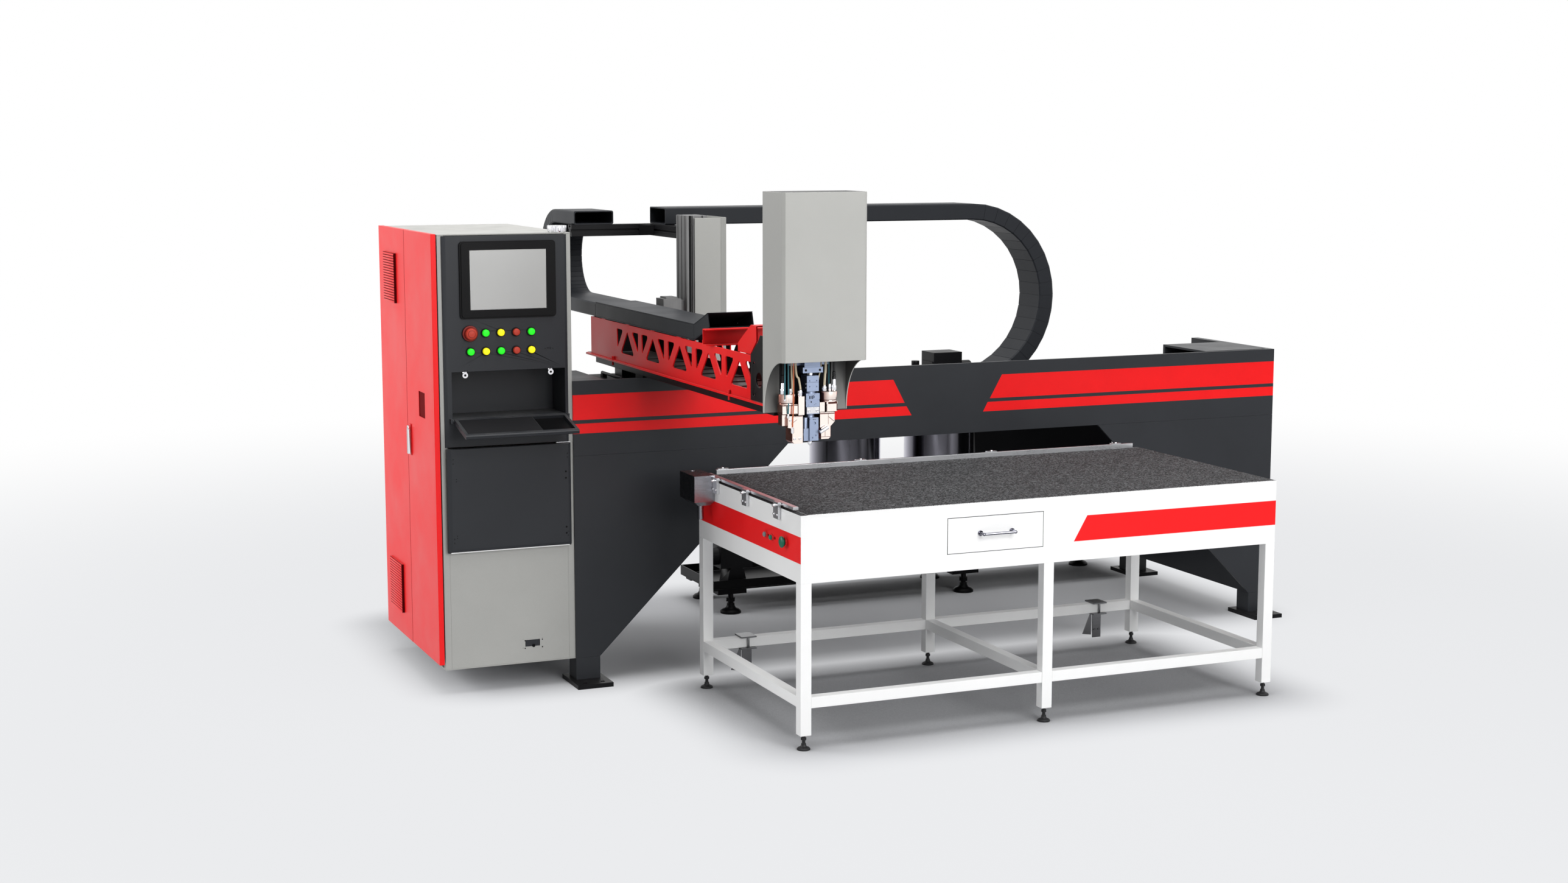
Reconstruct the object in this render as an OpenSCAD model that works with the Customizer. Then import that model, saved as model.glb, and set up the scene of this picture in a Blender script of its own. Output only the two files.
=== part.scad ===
// Foam gasket machine: worktable, beam gantry with a travelling arm, mixing head,
// tank platform and control cabinet, all at their working places.
// X runs along the beam, Y runs away from the operator and Z is up.
// Places are measured from the floor below the table's front left corner,
// and the machine is then centred over its footprint.

/* [Worktable] */
// Width of the worktable along the beam
table_w = 2000; // [1960:10:2040]
// Depth of the worktable
table_d = 1000; // [980:10:1010]
// Height of the table top above the floor
table_h = 850; // [830:5:870]
// Thickness of the speckled top slab
slab_t = 12; // [8:1:16]
// Height of the sheet apron below the slab
apron_h = 233; // [225:1:245]
// Outer size of the square leg tube
leg_size = 42; // [38:1:46]
// Height of the lower rails' underside above the floor
rail_z = 153; // [140:1:180]
// Width of the drawer front
drawer_w = 393; // [360:1:420]
// Height of the drawer front
drawer_h = 129; // [110:1:135]

/* [Machine base] */
// Width over the front panel
base_w = 3294; // [3280:2:3310]
// Distance from the table's front to the front panel
panel_y = 1230; // [1225:1:1235]
// Height of the panel's top edge above the floor
panel_top = 1215; // [1210:1:1218]
// Height of the opening below the panel's header
opening_top = 917.5; // [900:0.5:920]
// Underside of the panel, where the posts begin
panel_base = 106; // [100:1:112]
// Width of the posts and side frames
post_w = 100; // [90:1:110]
// Top face of the main beam, which carries the rails
beam_top = 1105; // [1100:1:1108]
// Radius of the anchor holes in the foot plates
anchor_r = 9; // [7:0.5:11]
// Spacing of the two anchor holes in one foot plate
anchor_spacing = 74; // [60:1:90]

/* [Tank platform] */
// Radius of a material tank
tank_r = 168; // [150:1:170]
// Height of the drip tray's floor
tray_z = 110; // [105:1:115]

/* [Control cabinet] */
// Width of the cabinet shell
cabinet_w = 527; // [520:1:530]
// Depth of the cabinet shell
cabinet_d = 882; // [860:1:890]
// Top of the cabinet
cabinet_top = 1794; // [1780:1:1800]
// Tilt of the keyboard shelf in degrees
shelf_tilt = 13.3; // [10:0.1:16]
// Radius of a push button's bezel
bezel_r = 17; // [15:0.5:19]
// Travel of a push button
button_travel = 4; // [3:0.5:4.5]

/* [Gantry] */
// Centre of the arm and of the nozzle, measured from the table's left edge
arm_x = -35; // [-36:1:-34]
// Width over the arm's side plates
arm_w = 260; // [256:1:262]
// Underside of the arm's web plates
web_z = 1260; // [1259:1:1261]
// Top of the arm's web plates
web_top = 1415; // [1412:1:1416]
// Length of one truss bay
bay_pitch = 300; // [290:5:300]
// Depth of the nozzle axis, negative in front of the table's front edge
nozzle_y = -157; // [-158:1:-156]
// Height of the nozzle tip above the floor
nozzle_z = 1122; // [1115:1:1125]

/* [Drag chains] */
// Outer bend radius of the long chain along the beam
x_bend = 423; // [420:1:423]
// Height of the long chain's links
x_link_h = 72; // [70:1:72]
// Outer bend radius of the chain along the arm
y_bend = 214; // [213:0.5:214]
// Height of the arm chain's links
y_link_h = 58; // [56:1:60]
// Links in each half turn
bend_links = 16; // [12:1:20]

/* [Hidden] */
$fn = 48;

// Narrow seam between welded or butted sheet parts
seam = 0.5;

// Outer reach of the whole machine, used to centre it
reach_left = -1008;
reach_right = 2887;
reach_front = -285;
reach_back = 2620;
origin_x = (reach_left + reach_right) / 2;
origin_y = (reach_front + reach_back) / 2;

// Table
slab_z = table_h - slab_t;
apron_z = slab_z - apron_h;
apron_wall = 4;
drawer_x = 579;
drawer_z = 669;
drawer_gap = 2;
foot_h = 54;
lower_rail = 40;
coat_t = 1;
left_fence_x = [5, 25.5];
left_fence_z = [856, 867];
back_fence_y = 985;
back_fence_top = 868;
grey_spot = [313, 732];
green_spot = [256, 730];
table_stop_spot = [137, 734];
bracket_ys = [780, 480, 179];
clip_xs = [98, 696, 1293, 1890];
docking_xs = [188, 1800];

// Machine base
base_left = -438;
base_right = base_left + base_w;
panel_t = 12;
panel_back = panel_y + panel_t;
opening_left = 479;
opening_right = 1946;
beam_left = -305;
beam_right = 2512;
beam_back = 1600;
beam_bottom = 925;
frame_back = 2389;
tray_chain_z = 1003;
post_base = 18;
post_d = 90;
rail_h = 20;
rail_ys = [1330, 1560];

// Platform
tray_left = 522;
tray_right = 2755;
tray_front = 2190;
tank_y = 2400;
tank_xs = [1273, 1770];

// Cabinet
cab_right = base_left;
cab_left = cab_right - cabinet_w;
cab_front = panel_y + 8;
cab_back = cab_front + cabinet_d;
cab_bottom = 105;
cab_sheet = 4;
fascia_left = cab_left + 15;
fascia_right = cab_right - 17;
fascia_z = 979;
fascia_fold = [16, 10];
fold_d = 4;
door_gap = 4;
niche_x = [-919, -468];
niche_z = [1090, 1269];
niche_back = 1400;
monitor_x = [-883, -503];
monitor_z = [1472, 1767];
button_spots = [
    [-785, 1416.5], [-725, 1416.5], [-664, 1416.5], [-604, 1416.5],
    [-845, 1346], [-784.5, 1346], [-725, 1346], [-664, 1346], [-604, 1346]
];
button_colors = ["lime", "yellow", "firebrick", "lime", "lime", "yellow", "lime", "firebrick", "yellow"];
stop_spot = [-846, 1416];
stop_bezel_r = 31;
socket_x = [-540, -524];
socket_z = [1343, 1351];
catch_xs = [-866, -525];
catch_z = 1255.6;
catch_r = 11;
stem_r = 5;
stem_hole_r = 6;
shelf_hinge = [1219.5, 1082];
door_in = -973;
door_out = -993;
door_z = [131, 1797];
door_split = [1657, 1661];
door_ends = [1222, 2096];
door_skin = 3;
door_rim = 20;
window_y = [1367, 1464];
window_z = [1078, 1177];
louvre_proud = 10;
louvre_base = 6.5;
louvre_slats = 19;
latch_y = [1595, 1621];
latch_z = [906, 1030];
handle_pivot = [1608, 1014];

// Gantry
plate_z = [1165, 1185];
web_left = arm_x - arm_w / 2;
web_right = arm_x + arm_w / 2;
web_t = 5;
web_y = [42, 1827];
first_bay = 163;
bays = 5;
corner_r = 7;
y_beam_z = [1223, 1253];
y_rail_xs = [-85, 15];
block_l = 90;
block_half = 30;
rail_slot = 11.5;
column_x = [158.5, 248];
column_y = [1541, 1665];
column_top = 1839;

// Chains, outer sizes
chain_wall = 4;
chain_play = 2;
x_chain_y = [1851, 2045];
x_loop_x = 1649;
x_loop_z = 1438;
x_upper_z = [x_loop_z + x_bend - x_link_h, x_loop_z + x_bend];
x_lower_z = [x_loop_z - x_bend, x_loop_z - x_bend + x_link_h];
x_mouth = 178.5;
x_fixed_end = 600;
y_chain_x = [-165, 12];
y_loop_y = 2330;
y_loop_z = 1632;
y_upper_z = [y_loop_z + y_bend - y_link_h, y_loop_z + y_bend];
y_lower_z = [y_loop_z - y_bend, y_loop_z - y_bend + y_link_h + chain_wall];
y_mouth = 2045;
ramp_y = [455, 610];
ramp_rise = 57;

// Head cover
cover_x = [-190, 120];
cover_y = [reach_front, -112];
cover_top = 1982;
cover_front_z = 1419;
cover_tail_z = 1235;
cover_t = 4;
cover_chamfer = 10;

// Colours
c_red = [0.90, 0.10, 0.09];
c_charcoal = [0.20, 0.21, 0.22];
c_black = [0.07, 0.07, 0.08];
c_grey = [0.72, 0.72, 0.71];
c_white = [0.92, 0.92, 0.92];
c_steel = [0.75, 0.76, 0.78];
c_chrome = [0.85, 0.86, 0.88];
c_blue_grey = [0.55, 0.62, 0.72];
c_copper = [0.90, 0.72, 0.64];

// Moves a shape from the table's corner to the machine's own origin
module at_origin() {
    translate([-origin_x, -origin_y, 0])
        children();
}

// Block between two ends on each axis
module block(x, y, z) {
    translate([x[0], y[0], z[0]])
        cube([x[1] - x[0], y[1] - y[0], z[1] - z[0]]);
}

// Round bars along each axis
module bar_x(x, y, z, r) {
    translate([x[0], y, z])
        rotate([0, 90, 0])
            cylinder(r = r, h = x[1] - x[0]);
}

module bar_y(x, y, z, r) {
    translate([x, y[0], z])
        rotate([-90, 0, 0])
            cylinder(r = r, h = y[1] - y[0]);
}

module bar_z(x, y, z, r) {
    translate([x, y, z[0]])
        cylinder(r = r, h = z[1] - z[0]);
}

// Extrusions of a 2D outline drawn in the X-Z, Y-Z or X-Y plane
module sheet_xz(y) {
    translate([0, y[1], 0])
        rotate([90, 0, 0])
            linear_extrude(y[1] - y[0])
                children();
}

module sheet_yz(x) {
    translate([x[0], 0, 0])
        rotate([90, 0, 90])
            linear_extrude(x[1] - x[0])
                children();
}

module sheet_xy(z) {
    translate([0, 0, z[0]])
        linear_extrude(z[1] - z[0])
            children();
}

// Rectangle with round corners, between two ends on each axis
module round_rect(u, v, r) {
    translate([u[0] + r, v[0]])
        square([u[1] - u[0] - 2 * r, v[1] - v[0]]);
    translate([u[0], v[0] + r])
        square([u[1] - u[0], v[1] - v[0] - 2 * r]);
    for (cu = [u[0] + r, u[1] - r])
        for (cv = [v[0] + r, v[1] - r])
            translate([cu, cv])
                circle(r = r);
}

// Unit vector and left normal of an edge
function unit(v) = v / norm(v);
function outward(a, b) = let (e = unit(b - a)) [e[1], -e[0]];

// Inner corner of a triangle, pulled in so that a circle of radius r touches both edges
function pulled_in(p, before, after, r) =
    let (u = unit(before - p), w = unit(after - p), b = unit(u + w))
    p + b * r / sqrt((1 - u * w) / 2);

// Points along the rounding between two outward normals
function corner_arc(c, n0, n1, r, steps) = [
    for (i = [0 : steps])
        c + r * unit(n0 * (1 - i / steps) + n1 * (i / steps))
];

// Triangle with round corners, its corners in counter-clockwise order
module round_triangle(p, r) {
    q = [for (i = [0:2]) pulled_in(p[i], p[(i + 2) % 3], p[(i + 1) % 3], r)];
    n = [for (i = [0:2]) outward(p[i], p[(i + 1) % 3])];
    polygon([for (i = [0:2]) each corner_arc(q[i], n[(i + 2) % 3], n[i], r, 4)]);
}

// Hexagon socket screw along Y with its head towards the operator
module screw_y(x, y, z, r) {
    difference() {
        bar_y(x, [y - r, y], z, r);
        translate([x, y - r - 1, z])
            rotate([-90, 0, 0])
                cylinder(r = r * 0.5, h = r * 0.6 + 1, $fn = 6);
    }
}

// Base frame

module front_panel() {
    color(c_charcoal) at_origin() {
        // Header across the full width
        block([base_left, base_right], [panel_y, panel_back], [opening_top + seam, panel_top]);
        // Wings run down to the posts with a 45 degree edge
        sheet_xz([panel_y, panel_back])
            polygon([
                [base_left, panel_base], [base_left + post_w, panel_base],
                [opening_left, opening_top], [base_left, opening_top]
            ]);
        sheet_xz([panel_y, panel_back])
            polygon([
                [base_right - post_w, panel_base], [base_right, panel_base],
                [base_right, opening_top], [opening_right, opening_top]
            ]);
    }
}

module main_beam() {
    color(c_charcoal) at_origin()
        difference() {
            block([beam_left, beam_right], [panel_back, beam_back], [beam_bottom, beam_top]);
            // Rebate along the lower rear edge
            block([beam_left - 1, beam_right + 1], [beam_back - 20, beam_back + 1],
                  [beam_bottom - 1, beam_bottom + 20]);
        }
}

module side_frames() {
    side_top = tray_chain_z;
    color(c_charcoal) at_origin()
        for (x = [base_left, base_right - post_w]) {
            sheet_yz([x, x + post_w])
                polygon([
                    [panel_back, panel_base], [frame_back, panel_base], [frame_back, side_top],
                    [beam_back + 6, side_top], [beam_back + 6, opening_top],
                    [panel_back, opening_top]
                ]);
            // Posts below the walls
            block([x, x + post_w], [panel_y, panel_y + post_d], [post_base, panel_base - seam]);
            block([x, x + post_w], [2240, 2240 + post_d], [post_base, panel_base - seam]);
        }
}

// Foot plate under a post, with two anchor holes at the depth hole_y
module foot_plate(x, y, hole_y) {
    half = 73.5;
    difference() {
        block([x - half, x + half], y, [0, post_base]);
        for (side = [-1, 1])
            bar_z(x + side * anchor_spacing / 2, hole_y, [-1, post_base + 1], anchor_r);
    }
}

module anchor_feet() {
    front = [1138, 1350];
    rear = [2181, frame_back];
    color(c_black) at_origin() {
        foot_plate(-386.5, front, front[0] + 30);
        foot_plate(2803.5, front, front[0] + 30);
        foot_plate(-395.5, rear, rear[1] - 31);
        foot_plate(2813.5, rear, rear[1] - 31);
    }
}

module beam_covers() {
    cover_bottom = opening_top + seam;
    window_depth = 240;
    guard_left = base_right - 36;
    cover_back = beam_back + 6;
    tray_y = [1840, 2056];
    tray_floor = tray_chain_z + 9;
    tray_lip = 4;
    tray_x = [x_fixed_end - 20, guard_left];
    color(c_charcoal) at_origin() {
        // Left end block
        block([base_left, beam_left], [panel_back, beam_back + 3], [cover_bottom, panel_top]);
        // Right end block with a window towards the beam
        difference() {
            block([beam_right, guard_left], [panel_back + 20, cover_back], [cover_bottom, panel_top]);
            block([beam_right - 1, beam_right + window_depth], [panel_back + 38, beam_back - 10],
                  [beam_top + 20, panel_top - 10]);
        }
        // Side guard with a turned lip
        block([guard_left + seam, base_right], [panel_back, cover_back], [cover_bottom, panel_top]);
        block([guard_left + seam, base_right], [cover_back + seam, tray_y[0]],
              [tray_chain_z + seam, panel_top]);
        // Chain tray behind the beam
        block(tray_x, [tray_y[0] + seam, tray_y[1]], [tray_chain_z + seam, tray_floor]);
        for (y = [[tray_y[0] + seam, tray_y[0] + tray_lip], [tray_y[1] - tray_lip, tray_y[1]]])
            block(tray_x, y, [tray_floor + seam, tray_floor + 18]);
        // Brackets that hold the tray off the beam
        for (x = [700 : 425 : 2400])
            block([x, x + 60], [beam_back, tray_y[1]], [tray_chain_z - 20, tray_chain_z]);
    }
}

module x_rails() {
    color(c_steel) at_origin() {
        for (y = rail_ys)
            sheet_yz([beam_left + 8, beam_right - 8])
                polygon([
                    [y - 10, beam_top], [y + 10, beam_top], [y + 10, beam_top + 8],
                    [y + 7, beam_top + 12], [y + 10, beam_top + rail_h],
                    [y - 10, beam_top + rail_h], [y - 7, beam_top + 12], [y - 10, beam_top + 8]
                ]);
        // Drive rack along the beam
        block([beam_left + 8, beam_right - 8], [1440, 1462], [beam_top, beam_top + 22]);
    }
}

// Tank platform

module levelling_foot(x, y, h, r) {
    translate([x, y, 0])
        rotate_extrude()
            polygon([
                [0, 0], [r, 0], [r, r * 0.2], [r * 0.82, r * 0.36], [r * 0.5, r * 0.5],
                [r * 0.38, r * 0.72], [r * 0.36, r * 0.95], [r * 0.26, r * 0.95], [r * 0.26, h], [0, h]
            ]);
    translate([x, y, h - r * 0.75])
        cylinder(r = r * 0.45, h = r * 0.35, $fn = 6);
}

module platform() {
    rim = 4;
    rim_top = tray_z + 46;
    foot_r = 48;
    foot_spots = [[615, 2215], [1815, 2215], [615, 2570], [1815, 2570], [2660, 2570]];
    color(c_black) at_origin() {
        block([tray_left, tray_right], [tray_front, reach_back], [tray_z, tray_z + 6]);
        block([tray_left, tray_right], [tray_front, tray_front + rim], [tray_z + 6 + seam, rim_top]);
        block([tray_left, tray_right], [reach_back - rim, reach_back], [tray_z + 6 + seam, rim_top]);
        for (x = [tray_left, tray_right - rim])
            block([x, x + rim], [tray_front + rim + seam, reach_back - rim - seam],
                  [tray_z + 6 + seam, rim_top]);
        for (p = foot_spots) {
            levelling_foot(p[0], p[1], tray_z - 20.5, foot_r);
            block([p[0] - 70, p[0] + 70], [p[1] - 22, p[1] + 40], [tray_z - 20, tray_z - seam]);
        }
    }
}

module tank(x) {
    floor_z = tray_z + 6;
    leg_h = 70;
    leg_ring = 120;
    body_top = 940;
    translate([x, tank_y, floor_z])
        rotate_extrude($fn = 96)
            polygon([
                [0, leg_h - 30], [40, leg_h - 30], [tank_r - 20, leg_h], [tank_r, leg_h + 20],
                [tank_r, body_top - floor_z], [tank_r + 7, body_top - floor_z],
                [tank_r + 7, body_top - floor_z + 16], [tank_r - 20, body_top - floor_z + 16],
                [tank_r - 60, body_top - floor_z + 30], [0, body_top - floor_z + 36]
            ]);
    for (a = [45 : 90 : 315])
        bar_z(x + leg_ring * cos(a), tank_y + leg_ring * sin(a), [floor_z, floor_z + leg_h + 4], 16);
    // Lid clamps
    for (a = [30 : 60 : 330])
        translate([x, tank_y, body_top + 8])
            rotate([0, 0, a])
                translate([tank_r - 2, 0, 0])
                    cylinder(r = 8, h = 14);
}

module tanks() {
    color(c_steel) at_origin()
        for (x = tank_xs)
            tank(x);
}

module feed_motors() {
    lid_z = 976;
    x = tank_xs[1];
    gearbox_y = [tank_y - 65, tank_y + 65];
    valve_x = 1641;
    pump_y = [2260, 2360];
    pump_x = [585, 742];
    shaft_y = 2310;
    shaft_z = 250;
    color(c_charcoal) at_origin() {
        // Agitator gearbox on the second tank
        block([x - 63, x + 87], gearbox_y, [lid_z + 14, 1140]);
        bar_z(x, tank_y, [lid_z, lid_z + 14 + seam], 55);
        for (z = [lid_z + 40 : 24 : 1110])
            block([x - 67, x - 62], [gearbox_y[0] + 10, gearbox_y[1] - 10], [z, z + 8]);
        bar_x([x + 86, x + 157], tank_y, 1045, 48);
        // Filling valve beside it
        bar_z(valve_x, tank_y, [968, 1080], 12);
        bar_z(valve_x, tank_y, [1079, 1100], 19);
        // Metering pump: motor, gearbox and foot
        block(pump_x, pump_y, [196, 305]);
        bar_x([pump_x[0] - 45, pump_x[0] + 1], shaft_y, shaft_z, 42);
        bar_x([pump_x[1] - 1, pump_x[1] + 18], shaft_y, shaft_z, 34);
        sheet_xz([pump_y[0] + 2, pump_y[1] - 2])
            polygon([[614, 116], [717, 116], [700, 187], [690, 197], [640, 197], [630, 187]]);
    }
}

module supply_housing() {
    y = [2400, 2600];
    z = [tray_z + 7, 975];
    rib_w = 20;
    rib_h = 9;
    color(c_black) at_origin() {
        sheet_xz(y)
            polygon([[2000, z[0]], [2740, z[0]], [2740, z[1] - 75], [2690, z[1]], [1950, z[1]]]);
        // Cooling ribs on top
        for (x = [2020 : 3 * rib_w : 2620])
            block([x, x + rib_w], [y[0] + 20, y[1] - 20], [z[1] - 1, z[1] + rib_h]);
    }
}

// Chain ducts

// Four walls of a straight duct along X, butted at narrow seams
module duct_x(x, y, z) {
    t = chain_wall;
    for (zz = [z[0], z[1] - t])
        block(x, y, [zz, zz + t]);
    for (yy = [y[0], y[1] - t])
        block(x, [yy, yy + t], [z[0] + t + seam, z[1] - t - seam]);
}

// The same along Y
module duct_y(x, y, z) {
    t = chain_wall;
    for (zz = [z[0], z[1] - t])
        block(x, y, [zz, zz + t]);
    for (xx = [x[0], x[1] - t])
        block([xx, xx + t], y, [z[0] + t + seam, z[1] - t - seam]);
}

// Points of one link between two angles of a bend, in the bend's plane
function link_outline(c, r, h, a, b) = [
    [c[0] + r * cos(a), c[1] + r * sin(a)],
    [c[0] + r * cos(b), c[1] + r * sin(b)],
    [c[0] + (r - h) * cos(b), c[1] + (r - h) * sin(b)],
    [c[0] + (r - h) * cos(a), c[1] + (r - h) * sin(a)]
];

// Half turn of separate links, with a hinge gap between neighbours
module link_bend(c, r, h) {
    step = 180 / bend_links;
    gap = 0.16;
    for (i = [0 : bend_links - 1])
        polygon(link_outline(c, r, h, 90 - i * step - gap, 90 - (i + 1) * step + gap));
}

module x_chain_lower() {
    color(c_charcoal) at_origin() {
        duct_x([x_fixed_end, x_loop_x - 8], x_chain_y, x_lower_z);
        // Fixed clamp at the chain's end
        block([x_fixed_end - 12, x_fixed_end - seam], x_chain_y, x_lower_z);
    }
}

module x_chain_loop() {
    inset = chain_wall + chain_play;
    upper_start = x_mouth + 140;
    lower_start = x_fixed_end + 20;
    color(c_charcoal) at_origin() {
        sheet_xz(x_chain_y)
            link_bend([x_loop_x, x_loop_z], x_bend, x_link_h);
        // Straight stretches, which slide in the ducts at both ends
        block([upper_start, x_loop_x - 1], [x_chain_y[0] + inset, x_chain_y[1] - inset],
              [x_upper_z[0] + inset, x_upper_z[1] - inset]);
        block([lower_start, x_loop_x - 1], [x_chain_y[0] + inset, x_chain_y[1] - inset],
              [x_lower_z[0] + inset, x_lower_z[1] - inset]);
    }
}

module y_chain_loop() {
    inset = chain_wall + chain_play;
    color(c_charcoal) at_origin() {
        sheet_yz(y_chain_x)
            link_bend([y_loop_y, y_loop_z], y_bend, y_link_h);
        block([y_chain_x[0] + inset, y_chain_x[1] - inset], [y_mouth + 40, y_loop_y - 1],
              [y_upper_z[0] + inset, y_upper_z[1] - inset]);
        block([y_chain_x[0] + inset, y_chain_x[1] - inset], [1630, y_loop_y - 1],
              [y_lower_z[0] + inset, y_lower_z[1] - inset - chain_wall]);
    }
}

module y_chain_lower() {
    t = chain_wall;
    x = y_chain_x;
    z = y_lower_z;
    slope = ramp_rise / (ramp_y[1] - ramp_y[0]);
    color(c_charcoal) at_origin() {
        duct_y(x, [ramp_y[1], 1765], z);
        // Ramp up to the front mouth
        y1 = ramp_y[1] - seam;
        y0 = ramp_y[0];
        lift = slope * (y1 - y0);
        sheet_yz(x)
            polygon([[y0, z[0] + lift], [y1, z[0]], [y1, z[0] + t], [y0, z[0] + t + lift]]);
        sheet_yz(x)
            polygon([
                [y0 + 15, z[1] - t + lift - 6], [y1, z[1] - t], [y1, z[1]], [y0 + 15, z[1] + lift - 6]
            ]);
        for (xx = [x[0], x[1] - t])
            sheet_yz([xx, xx + t])
                polygon([
                    [y0, z[0] + t + lift + seam], [y1, z[0] + t + seam],
                    [y1, z[1] - t - seam], [y0 + 15, z[1] - t + lift - 6 - seam]
                ]);
    }
}

module carriage_ducts() {
    color(c_charcoal) at_origin() {
        duct_x([x_mouth, x_mouth + 160], x_chain_y, x_upper_z);
        duct_y(y_chain_x, [y_mouth, y_loop_y - 10], y_upper_z);
    }
}

// Control cabinet

module cabinet_shell() {
    s = cab_sheet;
    post = 25;
    color(c_grey) at_origin() {
        // Floor and roof
        for (z = [cab_bottom, cabinet_top - s])
            block([cab_left, cab_right], [cab_front, cab_back], [z, z + s]);
        z = [cab_bottom + s + seam, cabinet_top - s - seam];
        // Right and back walls
        block([cab_right - s, cab_right], [cab_front + post + seam, cab_back - s - seam], z);
        block([cab_left, cab_right], [cab_back - s, cab_back], z);
        // Corner and middle posts of the frame
        for (x = [cab_left, cab_right - post])
            block([x, x + post], [cab_front, cab_front + post], z);
        block([cab_left, cab_left + post], [cab_back - s - seam - post, cab_back - s - seam], z);
        block([cab_left, cab_left + post], [door_split[0] - 20, door_split[1] + 20], z);
        // Lower front plate with its slot and screws
        x = [cab_left + post + seam, cab_right - post - seam];
        difference() {
            block(x, [cab_front, cab_front + s], [z[0], fascia_z - 410]);
            block([-644, -584], [cab_front - 1, cab_front + s + 1], [170, 197]);
            for (sx = [-654, -574])
                for (sz = [166, 201])
                    bar_y(sx, [cab_front - 1, cab_front + 2], sz, 2.5);
        }
    }
}

// Plan of a front sheet whose vertical edges are folded back
module folded_front(x, y) {
    polygon([
        [x[0], y[1]], [x[0], y[0] + fold_d], [x[0] + fascia_fold[0], y[0]],
        [x[1] - fascia_fold[1], y[0]], [x[1], y[0] + fold_d], [x[1], y[1]]
    ]);
}

module cabinet_front() {
    s = cab_sheet;
    y = [panel_y, cab_front - seam];
    color(c_charcoal) at_origin() {
        difference() {
            sheet_xy([fascia_z, cabinet_top - 6])
                folded_front([fascia_left, fascia_right], y);
            block(niche_x, [y[0] - 1, y[1] + 1], niche_z);
            block([monitor_x[0] + 15, monitor_x[1] - 15], [y[0] - 1, y[1] + 1],
                  [monitor_z[0] + 15, monitor_z[1] - 15]);
            for (p = button_spots)
                bar_y(p[0], [y[0] - 1, y[1] + 1], p[1], stem_hole_r);
            bar_y(stop_spot[0], [y[0] - 1, y[1] + 1], stop_spot[1], stem_hole_r);
            // Data socket
            block(socket_x, [y[0] - 1, y[0] + 4], socket_z);
        }
        // Liner of the niche
        liner_y = [cab_front, niche_back];
        for (z = [niche_z[0] - s, niche_z[1]])
            block([niche_x[0] - s, niche_x[1] + s], liner_y, [z, z + s]);
        for (x = [niche_x[0] - s, niche_x[1]])
            block([x, x + s], liner_y, [niche_z[0] + seam, niche_z[1] - seam]);
        block([niche_x[0] - s, niche_x[1] + s], [niche_back + seam, niche_back + s],
              [niche_z[0] - s, niche_z[1] + s]);
        // Hinge ears beside the keyboard shelf
        for (x = [-931, -466])
            block([x, x + 9], [shelf_hinge[0] - 8, y[0] + fold_d],
                  [shelf_hinge[1] - 9, shelf_hinge[1] + 9]);
    }
}

module monitor() {
    front = panel_y - 14;
    step = 5;
    screen_x = [-845, -542];
    screen_z = [1505, 1734];
    screen_d = 3;
    housing_d = 55;
    color(c_black) at_origin() {
        difference() {
            union() {
                sheet_xz([front + step, panel_y])
                    round_rect(monitor_x, monitor_z, 14);
                sheet_xz([front, front + step])
                    round_rect(
                        [monitor_x[0] + 6, monitor_x[1] - 6],
                        [monitor_z[0] + 6, monitor_z[1] - 6], 10);
                // Housing behind the panel
                block([monitor_x[0] + 17, monitor_x[1] - 17], [panel_y - 1, panel_y + housing_d],
                      [monitor_z[0] + 17, monitor_z[1] - 17]);
            }
            block(screen_x, [front - 1, front + screen_d], screen_z);
        }
    }
}

// Bezel ring in front of a panel, around a button
module bezel(p, outer, inner, depth) {
    difference() {
        bar_y(p[0], [panel_y - depth, panel_y - seam], p[1], outer);
        bar_y(p[0], [panel_y - depth - 1, panel_y + 1], p[1], inner);
    }
}

module control_rack() {
    color(c_black) at_origin() {
        for (p = button_spots)
            bezel(p, bezel_r, bezel_r - 3, 8);
        bezel(stop_spot, stop_bezel_r, 14, 9);
    }
}

module cabinet_fittings() {
    cap = [-480, 1275];
    cap_r = 37;
    lobes = 12;
    color(c_chrome) at_origin() {
        // Scalloped cap on the roof
        translate([cap[0], cap[1], cabinet_top]) {
            cylinder(r = cap_r - 3, h = 6);
            difference() {
                translate([0, 0, 5])
                    cylinder(r = cap_r, h = 21);
                for (i = [0 : lobes - 1])
                    rotate([0, 0, i * 360 / lobes])
                        translate([cap_r + 2, 0, 4])
                            cylinder(r = 5, h = 24, $fn = 24);
            }
        }
        // Ring catches below the niche's top edge
        for (x = catch_xs) {
            block([x - 8, x + 8], [panel_y + 11, panel_y + 24], [catch_z, niche_z[1] - 0.2]);
            difference() {
                bar_y(x, [panel_y + 2, panel_y + 12], catch_z, catch_r);
                bar_y(x, [panel_y + 1, panel_y + 9], catch_z, catch_r * 0.38);
            }
        }
    }
}

module keyboard_shelf() {
    x = [-917, -471];
    depth = 176;
    half = 9;
    rim = 12;
    field_split = x[1] - 139;
    field_y = [-depth + rim, -14];
    color(c_charcoal) at_origin()
        translate([0, shelf_hinge[0], shelf_hinge[1]])
            rotate([shelf_tilt, 0, 0]) {
                difference() {
                    block(x, [-depth, -3], [-half, half]);
                    // Shallow key field and deeper pointer field beside it
                    block([x[0] + rim, field_split + 1], field_y, [half - 2, half + 1]);
                    block([field_split, x[1] - rim], field_y, [half - 11, half + 1]);
                }
                bar_x([x[0] - 4.5, x[1] + 4.5], 0, 0, 7);
                // Front lip
                sheet_yz(x)
                    polygon([
                        [-depth, half - 1], [-depth - 5, half - 5],
                        [-depth - 5, -half + 3], [-depth, -half]]);
            }
}

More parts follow.
